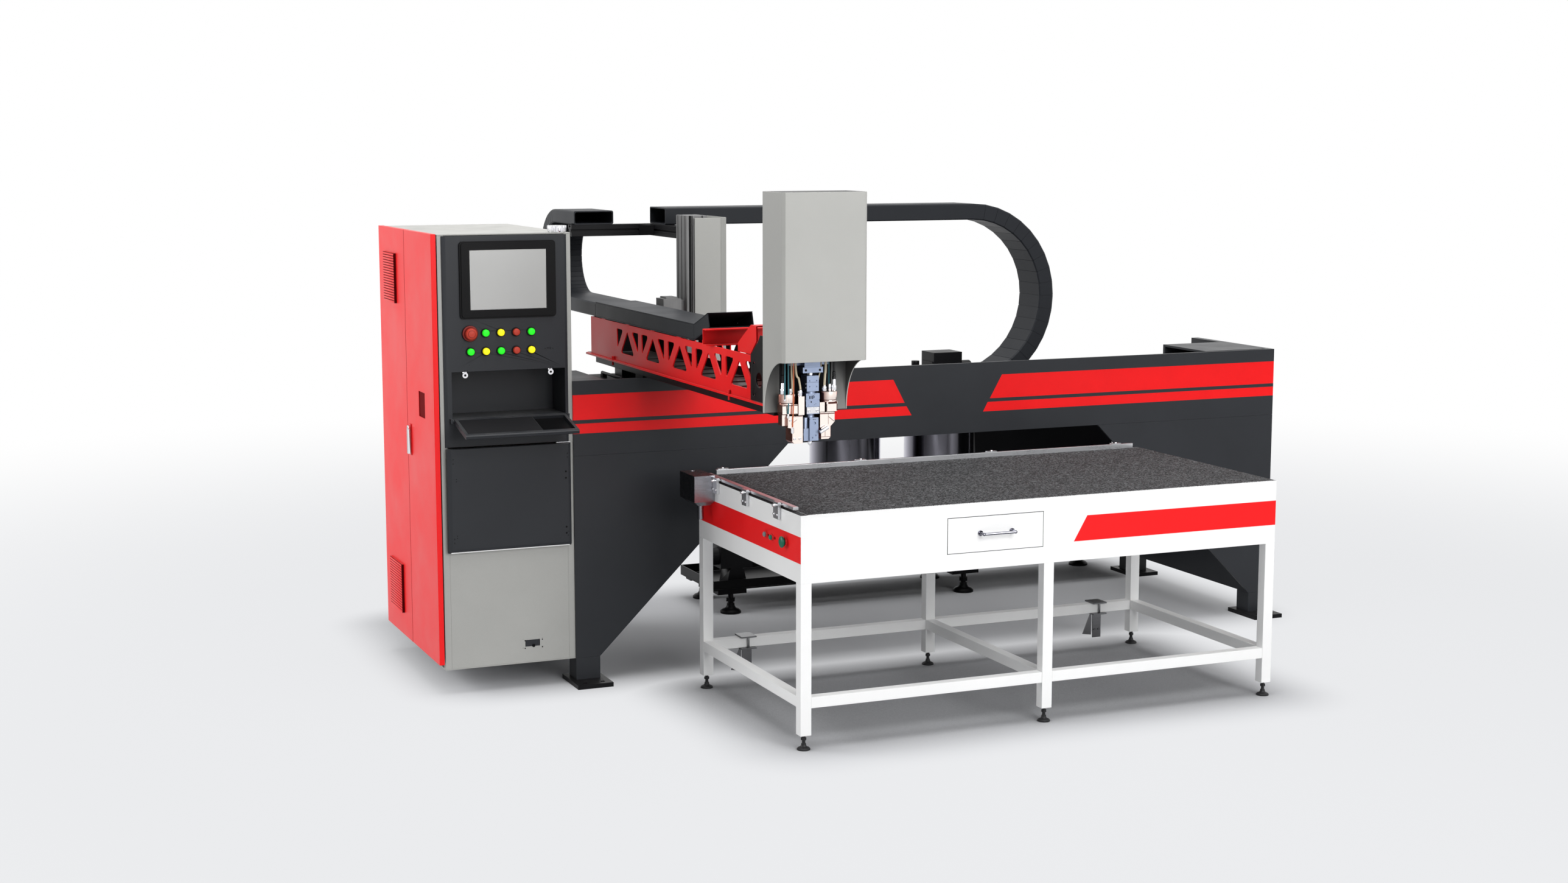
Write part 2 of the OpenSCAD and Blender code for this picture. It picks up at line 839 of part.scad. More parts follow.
module lower_door() {
    x = [-949, -454];
    y = [panel_y - 17, panel_y - 0.6];
    z = [569, fascia_z - door_gap];
    screw_hole_r = 3;
    color(c_charcoal) at_origin()
        difference() {
            intersection() {
                sheet_yz(x)
                    polygon([
                        [y[1], z[0] + 2], [y[1], z[1]], [y[0] + 2, z[1]], [y[0], z[1] - 2],
                        [y[0], z[0] + 14], [y[0] + 9, z[0]]
                    ]);
                sheet_xy([z[0] - 1, z[1] + 1])
                    folded_front(x, [y[0], y[1] + 1]);
            }
            // Pairs of screw holes at the corners
            for (hx = [x[0] + 22, x[1] - 15])
                for (hz = [z[0] + 40, z[0] + 56, z[1] - 56, z[1] - 40])
                    bar_y(hx, [y[0] - 1, y[0] + 3], hz, screw_hole_r);
        }
}

// Points of one louvre slat, which leans outwards towards its lower edge
function slat_edge(z, pitch) = [
    [door_out - louvre_base, z], [door_out - louvre_proud, z + pitch * 0.12],
    [door_out - louvre_proud, z + pitch * 0.28], [door_out - louvre_base, z + pitch * 0.97]
];

// Louvre block on a door's outer face, closed at both ends
module louvre(y, z) {
    pitch = (z[1] - z[0]) / louvre_slats;
    sheet_xz(y)
        polygon(concat(
            [[door_out + 1, z[1]], [door_out + 1, z[0]]],
            [for (i = [0 : louvre_slats - 1]) each slat_edge(z[0] + i * pitch, pitch)]
        ));
}

// Door skin with its folded rim
module door_pan(y) {
    difference() {
        block([door_out, door_in], y, door_z);
        block([door_out + door_skin, door_in + 1], [y[0] + door_rim, y[1] - door_rim],
              [door_z[0] + door_rim, door_z[1] - door_rim]);
    }
}

module side_door_front() {
    color(c_red) at_origin() {
        difference() {
            door_pan([door_ends[0], door_split[0]]);
            // Window cut out of the skin
            block([door_out - 1, door_out + door_skin + 1], window_y, window_z);
        }
        // Latch plate
        block([door_out - 4, door_out + 0.5], latch_y, latch_z);
    }
}

module side_door_rear() {
    color(c_red) at_origin() {
        door_pan([door_split[1], door_ends[1]]);
        louvre([1800, 1990], [1496, 1697]);
        louvre([1792, 2000], [225, 427]);
    }
}

module door_handle() {
    x = door_out - 4 - seam;
    color(c_chrome) at_origin() {
        y = handle_pivot[0];
        bar_x([x - 9, x], y, handle_pivot[1], 11);
        // Lever, narrower on its outer side
        sheet_xy([latch_z[0] + 5, handle_pivot[1] - 1])
            polygon([[x - 10.5, y - 8], [x - 10.5, y + 8], [x - 2.5, y + 10], [x - 2.5, y - 10]]);
    }
}

// Round push button along Y, with its stem through the panel
module push_button(p, r, hue) {
    back = panel_y - button_travel - 1.5;
    color(hue) at_origin()
        translate([p[0], back, p[1]])
            rotate([90, 0, 0]) {
                rotate_extrude()
                    polygon([[0, 0], [r, 0], [r, 9], [r - 1.5, 11.5], [r - 5, 12.5], [0, 13]]);
                translate([0, 0, -15])
                    cylinder(r = stem_r, h = 16);
            }
}

module cabinet_button(i) {
    push_button(button_spots[i], bezel_r - 3.6, button_colors[i]);
}

module emergency_stop() {
    back = panel_y - 16;
    color([0.62, 0.18, 0.12]) at_origin()
        translate([stop_spot[0], back, stop_spot[1]])
            rotate([90, 0, 0]) {
                rotate_extrude()
                    polygon([[0, 0], [19, 0], [22, 4], [22, 10], [19, 15], [12, 18], [0, 19]]);
                translate([0, 0, -22])
                    cylinder(r = stem_r, h = 23);
            }
}

// Worktable

// Collar around a push button on the table's left side
module table_collar(spot, r) {
    difference() {
        bar_x([-6, 0.5], spot[0], spot[1], r + 4);
        bar_x([-7, 1], spot[0], spot[1], r + 0.8);
    }
}

module table_body() {
    w = apron_wall;
    cheek_x = [drawer_x - drawer_gap - 5, drawer_x + drawer_w + drawer_gap + 2];
    cheek_t = 3;
    bay_back = 470;
    ledge_z = [drawer_z - 14, drawer_z - 10];
    color(c_white) at_origin()
        difference() {
            union() {
                difference() {
                    block([0, table_w], [0, table_d], [apron_z, slab_z]);
                    block([w, table_w - w], [w, table_d - w], [apron_z - 1, slab_z - w]);
                }
                table_collar(grey_spot, 9);
                table_collar(green_spot, 9);
                table_collar(table_stop_spot, 12);
                // Cheeks of the drawer bay, hung from the top sheet
                for (x = cheek_x)
                    block([x, x + cheek_t], [w - 1, bay_back], [ledge_z[0], slab_z - w + 1]);
                // Ledges that the drawer runs on
                block([cheek_x[0] + 2, cheek_x[0] + 16], [w - 1, bay_back], ledge_z);
                block([cheek_x[1] - 13, cheek_x[1] + 1], [w - 1, bay_back], ledge_z);
            }
            block([drawer_x - drawer_gap, drawer_x + drawer_w + drawer_gap], [-1, w + 1],
                  [drawer_z - drawer_gap, drawer_z + drawer_h + drawer_gap]);
            for (spot = [grey_spot, green_spot, table_stop_spot])
                bar_x([-1, w + 1], spot[0], spot[1], stem_hole_r);
        }
}

// Slab with its speckled coat, which ends at the fences
module table_top() {
    color([0.33, 0.33, 0.33]) at_origin() {
        block([0, table_w], [0, table_d], [slab_z, table_h - coat_t]);
        block([left_fence_x[1] + 1, table_w], [0, back_fence_y - seam],
              [table_h - coat_t, table_h]);
    }
}

module table_frame() {
    half = leg_size / 2;
    xs = [half, table_w / 2, table_w - half];
    ys = [half, table_d - half];
    rail_top = rail_z + lower_rail;
    inset = (leg_size - lower_rail) / 2;
    color(c_white) at_origin() {
        for (x = xs)
            for (y = ys)
                block([x - half, x + half], [y - half, y + half], [foot_h, apron_z]);
        // Rails along the front and back
        for (i = [0, 1])
            for (y = ys)
                block([xs[i] + half + seam, xs[i + 1] - half - seam],
                      [y - half + inset, y + half - inset], [rail_z, rail_top]);
        // Rails from front to back
        for (x = xs)
            block([x - half + inset, x + half - inset], [ys[0] + half + seam, ys[1] - half - seam],
                  [rail_z, rail_top]);
    }
}

module table_feet() {
    half = leg_size / 2;
    color(c_black) at_origin()
        for (x = [half, table_w / 2, table_w - half])
            for (y = [half, table_d - half])
                levelling_foot(x, y, foot_h - 0.2, 24);
}

module fence_bars() {
    color(c_chrome) at_origin() {
        block(left_fence_x, [78, 930], left_fence_z);
        block([69, 1970], [back_fence_y, table_d], [table_h - coat_t, back_fence_top]);
    }
}

// Bracket plate on the table's side, with a set screw whose disc clamps the fence bar
module fence_bracket(y) {
    plate_x = [-11.3, -seam];
    screw_y = y + 6;
    screw_z = 860;
    block(plate_x, [y, y + 44], [808, 869]);
    bar_x([-30.4, -18.3], screw_y, screw_z, 5);
    bar_x([-18.8, plate_x[0] + 0.5], screw_y, screw_z, 2.7);
    bar_x([plate_x[1] - 0.5, left_fence_x[0] - seam], screw_y, screw_z, 4.5);
    for (fixing_y = [y + 9, y + 39])
        bar_x([plate_x[0] - 3, plate_x[0] + 0.5], fixing_y, 823, 4);
}

// Docking bracket: two plates clamped around the rear rail, with a hanging sheet
module docking_bracket(x) {
    rail_top = rail_z + lower_rail;
    plate_y = [942, 1016];
    plate_t = 6;
    sheet_y = [976, 980];
    sheet_top = rail_z - plate_t - seam;
    for (z = [[rail_top + seam, rail_top + plate_t], [rail_z - plate_t, rail_z - seam]])
        block([x - 32, x + 32], plate_y, z);
    for (y = [plate_y[0] + 7, plate_y[1] - 7])
        bar_z(x, y, [rail_z - 0.2, rail_top + 0.2], 4);
    // Hanging sheet with a slanted wing
    sheet_xz(sheet_y)
        polygon([[x - 16, 42], [x + 24, 42], [x + 24, sheet_top], [x - 16, sheet_top]]);
    sheet_xz([sheet_y[1] + seam, sheet_y[1] + 4])
        polygon([[x - 20, 54], [x - 62, 60], [x - 26, sheet_top], [x - 20, sheet_top]]);
    for (dx = [-6, 14])
        screw_y(x + dx, sheet_y[0] + seam, 78, 5);
}

module table_brackets() {
    clip_half = 22;
    clip_top = back_fence_top + 4;
    color(c_steel) at_origin() {
        for (y = bracket_ys)
            fence_bracket(y);
        // Clips of the back fence
        for (x = clip_xs) {
            block([x - clip_half, x + clip_half], [table_d + seam, table_d + 4], [790, clip_top]);
            block([x - clip_half, x + clip_half], [back_fence_y + 1, table_d + 1],
                  [back_fence_top + seam, clip_top]);
            bar_z(x, back_fence_y + 8, [clip_top - 1, clip_top + 4], 5);
        }
        for (x = docking_xs)
            docking_bracket(x);
    }
}

module purge_box() {
    hole = [-37, 965];
    box_x = [-84, -seam];
    box_y = [826, 986];
    box_z = [772, 874];
    funnel_z = 755;
    pipe = [-39, 879];
    pipe_bottom = 698;
    color(c_steel) at_origin()
        difference() {
            union() {
                block(box_x, box_y, box_z);
                // Four-sided funnel below the box
                intersection() {
                    sheet_xz(box_y)
                        polygon([
                            [box_x[0] + 1, box_z[0] + 0.5], [box_x[1] - 1, box_z[0] + 0.5],
                            [-14, funnel_z], [-61, funnel_z]]);
                    sheet_yz(box_x)
                        polygon([
                            [box_y[0] + 1, box_z[0] + 0.5], [box_y[1] - 1, box_z[0] + 0.5],
                            [966, funnel_z], [846, funnel_z]]);
                }
                bar_z(pipe[0], pipe[1], [pipe_bottom, funnel_z + 0.5], 11.3);
            }
            bar_z(hole[0], hole[1], [820, box_z[1] + 1], 11);
            bar_z(pipe[0], pipe[1], [pipe_bottom - 1, 822], 7);
            // Joggle between the mouth and the drain
            block([-44, -32], [872, 972], [816, 828]);
            bar_z(-38, 866, [box_z[1] - 6, box_z[1] + 1], 3);
        }
}

// Push buttons on the table's left side, along X
module side_button(spot, r, hue, reach) {
    color(hue) at_origin()
        translate([-5, spot[0], spot[1]])
            rotate([0, -90, 0]) {
                rotate_extrude()
                    polygon([[0, 0], [r, 0], [r, reach - 3], [r - 3, reach], [0, reach + 0.5]]);
                translate([0, 0, -14])
                    cylinder(r = stem_r - 0.5, h = 15);
            }
}

module table_button_grey() {
    side_button(grey_spot, 9, "silver", 8);
}

module table_button_green() {
    side_button(green_spot, 9, "limegreen", 8);
}

module table_stop() {
    color([0.05, 0.45, 0.30]) at_origin()
        translate([-5, table_stop_spot[0], table_stop_spot[1]])
            rotate([0, -90, 0]) {
                rotate_extrude()
                    polygon([
                        [0, 0], [11.5, 0], [11.5, 5], [19, 6], [21, 9], [20, 13], [14, 16], [0, 17]
                    ]);
                translate([0, 0, -14])
                    cylinder(r = stem_r - 0.5, h = 15);
            }
}

module drawer() {
    x = [drawer_x, drawer_x + drawer_w];
    z = [drawer_z, drawer_z + drawer_h];
    t = 3;
    back = 440;
    color(c_white) at_origin() {
        block(x, [0, 16], z);
        difference() {
            block([x[0] + 4, x[1] - 4], [15, back], [z[0] + 2, z[1] - 25]);
            block([x[0] + 4 + t, x[1] - 4 - t], [16 + t, back - t], [z[0] + 2 + t, z[1]]);
        }
    }
}

module drawer_handle() {
    x = [711, 841];
    z = 737;
    r = 5;
    reach = 30;
    color(c_chrome) at_origin() {
        for (px = x) {
            bar_y(px, [-reach, 0], z, r);
            bar_y(px, [-4, 0], z, 10);
            translate([px, -reach, z])
                sphere(r = r + 1.5);
        }
        bar_x(x, -reach, z, r);
    }
}

// Gantry carriage

// Bearing block that straddles a rail along X
module block_on_rail(x, y) {
    difference() {
        block([x, x + block_l], [y - block_half, y + block_half], [beam_top + 5, plate_z[0] + 0.5]);
        block([x - 1, x + block_l + 1], [y - rail_slot, y + rail_slot],
              [beam_top + 4, beam_top + rail_h + 2]);
    }
}

module carriage() {
    x = [-290, 260];
    y = [1290, 1700];
    shaft = [-196, 1203];
    shaft_ends = [1338, 1592];
    color(c_charcoal) at_origin() {
        block(x, y, plate_z);
        for (bx = [x[0] + 10, x[1] - block_l - 10])
            for (by = rail_ys)
                block_on_rail(bx, by);
        // Blocks below the arm's rails
        for (bx = y_rail_xs)
            for (by = [1320, 1580])
                difference() {
                    block([bx - block_half, bx + block_half], [by, by + block_l],
                          [plate_z[1] - 1, y_beam_z[0] - 2]);
                    block([bx - rail_slot, bx + rail_slot], [by - 1, by + block_l + 1],
                          [y_beam_z[0] - 8, y_beam_z[0]]);
                }
        // Round shaft on its two supports at the left edge
        bar_y(shaft[0], shaft_ends, shaft[1], 6.5);
        for (sy = [shaft_ends[0] + 7, shaft_ends[1] - 32])
            block([shaft[0] - 10, shaft[0] + 10], [sy, sy + 24], [plate_z[1] - 1, shaft[1] - 3]);
        // Drive gearbox below the plate, clear of the rack
        block([60, 150], [1640, 1698], [1130, plate_z[0] + 1]);
    }
}

// Slotted profile outline: a rectangle with undercut grooves on its faces
module slotted(u, v, us, vs) {
    mouth = 8;
    inner = 16;
    difference() {
        translate([u[0], v[0]])
            square([u[1] - u[0], v[1] - v[0]]);
        for (c = us)
            for (side = [0, 1]) {
                edge = v[side];
                translate([c - mouth / 2, edge - 6])
                    square([mouth, 12]);
                translate([c - inner / 2, side == 0 ? edge + 5 : edge - 11])
                    square([inner, 6]);
            }
        for (c = vs)
            for (side = [0, 1]) {
                edge = u[side];
                translate([edge - 6, c - mouth / 2])
                    square([12, mouth]);
                translate([side == 0 ? edge + 5 : edge - 11, c - inner / 2])
                    square([6, inner]);
            }
    }
}

module column() {
    foot_top = plate_z[1] + 12;
    gearbox_x = [62, 140];
    gearbox_y = [1560, 1650];
    gearbox_z = [1425, 1498];
    color(c_steel) at_origin() {
        sheet_xy([foot_top, column_top])
            slotted(column_x, column_y, [181, 226], [1562, 1603, 1644]);
        // Foot plate of the column
        block([column_x[0] - 6, column_x[1] + 10], [column_y[0] - 8, column_y[1] + 30],
              [plate_z[1], foot_top]);
        // Light gearbox with its neck and lid
        block(gearbox_x, gearbox_y, gearbox_z);
        block([gearbox_x[1] - 1, column_x[0] + 0.5], [gearbox_y[0] + 15, gearbox_y[1] - 15],
              [gearbox_z[0] + 10, gearbox_z[1] - 8]);
        block([gearbox_x[0] + 14, gearbox_x[1] - 14], [gearbox_y[0] + 8, gearbox_y[1] - 10],
              [gearbox_z[1] - 1, gearbox_z[1] + 7]);
    }
}

module column_cover() {
    t = 4;
    left = 190;
    y = 1531;
    bend_x = 305;
    side_x = 340;
    bend_end = y + 44;
    back = 1845;
    z = [plate_z[1] + 13, 1829];
    stay = 16;
    color(c_grey) at_origin() {
        sheet_xy(z)
            polygon([[left, y], [bend_x, y], [bend_x, y + t], [left, y + t]]);
        sheet_xy(z)
            polygon([
                [bend_x + seam, y], [bend_x + 1.6, y], [side_x + t, y + side_x - bend_x + 2.4],
                [side_x + t, bend_end], [side_x, bend_end], [side_x, bend_end - 3],
                [bend_x + seam, y + t]
            ]);
        sheet_xy(z)
            translate([side_x, bend_end + seam])
                square([t, back - bend_end - seam]);
        // Stays from the column to the sheet
        for (sz = [1300, 1560, 1780])
            block([column_x[1] + seam, side_x - seam], [1600, 1600 + stay], [sz, sz + stay]);
    }
}

module chain_frame() {
    y_bar_x = [178.5, 228.5];
    y_bar_z = [1738, 1788];
    x_bar_z = [y_bar_z[0], y_upper_z[0] - seam];
    x_bar_y = [2045 + seam, 2095];
    color(c_black) at_origin() {
        // Bar from the column to the back
        sheet_xz([column_y[1], x_bar_y[0] - seam])
            slotted(y_bar_x, y_bar_z, [203.5], [1763]);
        // Gussets at the column
        sheet_yz([196, 211]) {
            polygon([[column_y[1], 1680], [column_y[1] + 58, y_bar_z[0]], [column_y[1], y_bar_z[0]]]);
            polygon([[column_y[1], y_bar_z[1]], [column_y[1] + 50, y_bar_z[1]], [column_y[1], 1836]]);
        }
        // Bar across to the arm chain's end
        sheet_yz([-176, y_bar_x[1]])
            slotted(x_bar_y, x_bar_z, [2070], [1763]);
        // Corner bracket
        sheet_xy([y_bar_z[0] + 4, y_bar_z[1] - 4])
            polygon([[127, 2045], [178, 2045], [178, 1994]]);
    }
}

// Arm

module web_windows() {
    for (i = [0 : bays - 1]) {
        c = first_bay + i * bay_pitch;
        round_triangle([[c + 51, 1391], [c + 125, 1308], [c + 130, 1391]], corner_r);
        round_triangle([[c - 81, 1295], [c + 83, 1295], [c, 1388]], corner_r);
        round_triangle([[c - 131, 1391], [c - 129, 1308], [c - 51, 1391]], corner_r);
    }
}

module arm_truss() {
    flange_z = [y_beam_z[1], y_beam_z[1] + 7];
    inner_x = [web_left + web_t + seam, web_right - web_t - seam];
    rung_w = 34;
    rung_h = 4;
    gusset = [[187, 1447], [187, 1416.5], [71, 1416.5], [16, 1467], [18, 1518], [67, 1519]];
    channel_y = [410, 454];
    channel_top = 1475;
    strap_half = 20;
    color(c_red) at_origin() {
        // Web plates with triangular windows
        for (x = [web_left, web_right - web_t])
            sheet_yz([x, x + web_t])
                difference() {
                    translate([web_y[0], web_z + seam])
                        square([web_y[1] - web_y[0], web_top - web_z - seam]);
                    web_windows();
                }
        // Floor plate with outward flanges
        sheet_xy(flange_z)
            polygon([
                [web_left - 10, -100], [web_right + 10, -100], [web_right + 10, 1870],
                [web_right - 10, 1896], [web_left + 10, 1896], [web_left - 10, 1870]
            ]);
        // Rungs on the floor plate between the webs
        for (i = [0 : 2 * bays - 1])
            block(inner_x, [first_bay + i * bay_pitch / 2 - rung_w, first_bay + i * bay_pitch / 2],
                  [flange_z[1] - 1, flange_z[1] + rung_h]);
        // Straps on the webs below the arm's chain
        for (i = [1 : bays])
            block([web_left, web_right],
                  [first_bay + i * bay_pitch - strap_half, first_bay + i * bay_pitch + strap_half],
                  [web_top + seam, y_lower_z[0] - seam]);
        // Jacking bolts through the flange, with a hexagon head
        for (y = [248, 1530]) {
            bar_z(web_left - 5, y, [1238, flange_z[1] + 14], 4);
            translate([web_left - 5, y, flange_z[1] + 5])
                cylinder(r = 5, h = 9, $fn = 6);
        }
        // Channel below the chain's mouth
        block([-190, 50], [channel_y[1] - 4, channel_y[1]], [web_top + seam, channel_top]);
        for (z = [web_top + seam, channel_top - 4])
            sheet_xy([z, min(z + 4, channel_top)])
                polygon([
                    [-180, channel_y[0]], [50, channel_y[0]], [50, channel_y[1] - 3],
                    [-190, channel_y[1] - 3], [-190, channel_y[0] + 8]
                ]);
        // Gussets and plate behind the head
        for (x = [web_left + 5, web_right - 10])
            sheet_yz([x, x + 5])
                polygon(gusset);
        block([web_left + 10 + seam, web_right - 10 - seam], [18, 67], [1514, 1519]);
    }
}

module head_plate(x) {
    sheet_yz(x)
        difference() {
            polygon([
                [41.5, web_z + 2], [41.5, 1416], [-25, 1469], [-46, 1492], [-98, 1492], [-98, web_z + 2]
            ]);
            translate([arm_x, 1337])
                circle(r = 26);
            for (z = [1392, 1281])
                round_rect([6, 20], [z - 4, z + 4], 3.9);
        }
}

module arm_beam() {
    rail_z0 = y_beam_z[0] - 6;
    color(c_black) at_origin() {
        block([arm_x - 115, arm_x + 115], [-113, 1813], [y_beam_z[0], y_beam_z[1] - seam]);
        for (x = y_rail_xs)
            block([x - 10, x + 10], [-60, 1790], [rail_z0, y_beam_z[0] + 1]);
        // Front end block
        block([arm_x - 95, arm_x + 95], [-126, -113 - seam], [1192, 1237]);
        // End plate between the webs
        block([web_left + web_t + seam, web_right - web_t - seam], [web_y[1] - 8, web_y[1] - 2],
              [y_beam_z[1] + 7 + seam, web_top]);
        // Plates on both sides of the head
        head_plate([web_left - 7, web_left - 2]);
        head_plate([web_right + 2, web_right + 7]);
    }
}

// Quarter ellipse under the cover's sides
function tail_arc(steps) = [
    for (i = [0 : steps])
        let (a = 90 - 90 * i / steps)
        [
            cover_y[0] + cover_chamfer + 155 * cos(a),
            cover_tail_z + 2 + (cover_front_z - cover_tail_z - 2) * sin(a)
        ]
];

module head_cover() {
    t = cover_t;
    c = cover_chamfer;
    // Flanges turned inward along the back edges
    flange = 59.4;
    yf = cover_y[1] - 1.5;
    xa = cover_x[0];
    xb = cover_x[1];
    ya = cover_y[0];
    yb = cover_y[1];
    color(c_grey) at_origin() {
        difference() {
            sheet_xy([cover_tail_z, cover_top])
                polygon([
                    [xa, yb], [xa, ya + c], [xa + c, ya], [xb - c, ya], [xb, ya + c], [xb, yb],
                    [xb - t, yb], [xb - t, yf], [xb - flange, yf], [xb - flange, yf - t],
                    [xb - t, yf - t], [xb - t, ya + c + 2], [xb - c - 2, ya + t],
                    [xa + c + 2, ya + t], [xa + t, ya + c + 2], [xa + t, yf - t],
                    [xa + flange, yf - t], [xa + flange, yf], [xa + t, yf], [xa + t, yb]
                ]);
            sheet_yz([xa - 1, xb + 1])
                polygon(concat(
                    [[ya - 1, cover_tail_z - 1], [ya - 1, cover_front_z]],
                    tail_arc(18),
                    [[ya + c + 155, cover_tail_z - 1]]
                ));
        }
        sheet_xy([cover_top - t, cover_top])
            polygon([
                [xa + 1, yb], [xa + 1, ya + c], [xa + c, ya + 1],
                [xb - c, ya + 1], [xb - 1, ya + c], [xb - 1, yb]]);
    }
}

module z_axis() {
    back = cover_y[1] + seam;
    plate_t = 13;
    step_z = 1500;
    color(c_black) at_origin() {
        // Back plate and the two guide rails
        block([arm_x - 110, arm_x + 110], [back, back + plate_t], [web_z + 2, step_z]);
        block([cover_x[0] + 6, cover_x[1] - 6], [back, back + plate_t], [step_z - seam, 1970]);
        for (x = [arm_x - 60, arm_x + 60])
            block([x - 8, x + 8], [back - 14, back - seam], [1290, 1900]);
        // Screw between its bearing blocks
        bar_z(arm_x, back - 8, [1300, 1880], 6);
        // Motor above the screw
        block([arm_x - 40, arm_x + 40], [back - 78, back - seam], [1902, 1962]);
    }
}

// Mixing head

module head_block() {
    y = [nozzle_y - 25, nozzle_y + 25];
    bore_r = 6.05;
    color(c_blue_grey) at_origin() {
        // Slide plate behind the stack
        block([arm_x - 75, arm_x + 75], [nozzle_y + 12, nozzle_y + 29], [1395, 1640]);
        block([arm_x - 29, arm_x + 29], [y[0] + 4, nozzle_y + 12 - seam], [1398, 1560]);
        difference() {
            union() {
                // Top block and clamp
                block([arm_x - 29, arm_x + 29], [y[0] + 4, y[1] - 4], [1390, 1397.5]);
                block([arm_x - 37, arm_x + 37], y, [1372, 1391]);
            }
            bar_z(arm_x, nozzle_y, [1371, 1393], bore_r);
            for (x = [arm_x - 26, arm_x + 26])
                bar_y(x, [y[0] - 1, y[0] + 4], 1381, 4);
        }
        difference() {
            union() {
                // Drive body, steel ring and mixing chamber
                block([arm_x - 22, arm_x + 22], y, [1309, 1362]);
                bar_z(arm_x, nozzle_y, [1301, 1310], 19);
                block([arm_x - 25, arm_x + 25], y, [1256, 1302]);
                block([arm_x - 23, arm_x + 23], [y[0] - 3, y[1]], [1232, 1254]);
                bar_z(arm_x, nozzle_y, [1218, 1257], 15);
                block([arm_x - 12, arm_x + 21], y, [1140, 1219]);
                block([arm_x - 31, arm_x - 11], [y[0] + 6, y[1] - 4], [1140, 1182]);
                bar_z(arm_x - 22, nozzle_y - 10, [1181, 1219], 9);
                // Nozzle
                translate([arm_x, nozzle_y, nozzle_z])
                    rotate_extrude()
                        polygon([[1.2, 0], [3, 0], [3.5, 6], [6.5, 9], [6.5, 20], [0, 20], [0, 4], [1.2, 4]]);
            }
            bar_z(arm_x, nozzle_y, [1330, 1363], bore_r);
            // Cut back the faces with grooves and holes
            for (z = [1325, 1345])
                for (x = [arm_x - 13, arm_x + 13])
                    bar_y(x, [y[0] - 1, y[0] + 3], z, 2.6);
            block([arm_x - 26, arm_x + 26], [y[0] - 1, y[0] + 3], [1276, 1280]);
            bar_y(arm_x, [y[0] - 1, y[0] + 5], 1290, 6);
            bar_y(arm_x + 6, [y[0] - 1, y[0] + 4], 1200, 5);
            bar_y(arm_x + 10, [y[0] - 1, y[0] + 3], 1158, 3);
            bar_y(arm_x - 2, [y[0] - 1, y[0] + 3], 1150, 3);
        }
    }
}

// Round cap of a valve, necked in at its seal
module valve_cap(x, z) {
    r = 30;
    h = z[1] - z[0];
    translate([x, nozzle_y - 3, z[0]])
        rotate_extrude()
            polygon([
                [0, 0], [r - 3, 0], [r - 3, 5], [r - 5, 5], [r - 5, 8],
                [r, 8], [r, h - 2], [r - 2, h], [0, h]
            ]);
}

module valve_blocks() {
    front = nozzle_y - 31;
    back = nozzle_y + 27;
    color(c_copper) at_origin() {
        // Left valve: cap, body, side port and long manifold with a slanted foot
        valve_cap(-123, [1266, 1303]);
        block([-146, -89], [front + 8, back - 6], [1233, 1266.5]);
        block([-88, -66], [front + 6, back - 4], [1230, 1293]);
        block([-145, -130.5], [front + 14, back - 10], [1195, 1232.5]);
        sheet_xz([front + 2, back])
            polygon([
                [-130, 1190], [-130, 1228], [-74, 1228], [-74, 1134],
                [-105, 1134], [-113, 1142], [-113, 1186]
            ]);
        // Right valve, with a shorter manifold
        valve_cap(32, [1270, 1307]);
        block([-8, 10], [front + 8, back - 6], [1237, 1269.5]);
        block([18, 58], [front + 10, back - 6], [1237, 1271]);
        sheet_xz([front + 6, back - 4])
            polygon([
                [-8, 1186], [-8, 1235], [46, 1235], [46, 1202], [32, 1188],
                [32, 1152], [24, 1144], [-4, 1144], [-4, 1182]
            ]);
    }
}

module head_fittings() {
    front = nozzle_y - 14;
    color(c_chrome) at_origin() {
        // Couplings below the hoses
        for (p = [[-141, 1303.5, 1341], [48, 1307.5, 1346]])
            for (part = [[0, 0.45, 9], [0.44, 1, 7]])
                bar_z(p[0], front, [p[1] + part[0] * (p[2] - p[1]), p[1] + part[1] * (p[2] - p[1])], part[2]);
        bar_z(-78, front, [1293.5, 1312], 9);
        bar_z(12, front, [1307.5, 1322], 8);
        bar_z(-113, front, [1303.5, 1320], 6);
        bar_z(32, front, [1307.5, 1330], 5);
        // Connecting pins between the valves and the chamber
        bar_x([-73.5, -66.5], nozzle_y, 1160, 7);
        // Angled check valve at the lower right
        translate([-2, front - 23.5, 1176])
            rotate([0, 62, 0])
                translate([0, 0, -14])
                    cylinder(r = 6.5, h = 34);
        bar_y(-2, [front - 23, front - 11.2], 1176, 4);
        // Screws on the front of the stack
        for (x = [arm_x - 15, arm_x + 15])
            screw_y(x, nozzle_y - 28 - seam, 1243, 5);
        for (p = [[-104, 1150], [-84, 1150], [-120, 1214]])
            screw_y(p[0], nozzle_y - 29 - seam, p[1], 4);
    }
}

module hoses() {
    front = nozzle_y - 14;
    top = 1700;
    color([0.75, 0.68, 0.55]) at_origin() {
        for (p = [
            [-141, 1342, 4.5], [48, 1347, 4.5], [-78, 1313, 6],
            [12, 1323, 6], [-113, 1321, 2.5], [32, 1331, 2.5]])
            bar_z(p[0], front, [p[1], top], p[2]);
        bar_z(-128, front, [1304, top], 2.5);
    }
}

module rotor() {
    color(c_steel) at_origin() {
        bar_z(arm_x, nozzle_y, [1331, 1392], 6);
        translate([arm_x, nozzle_y, 1362.8])
            cylinder(r = 10, h = 8.4, $fn = 6);
    }
}

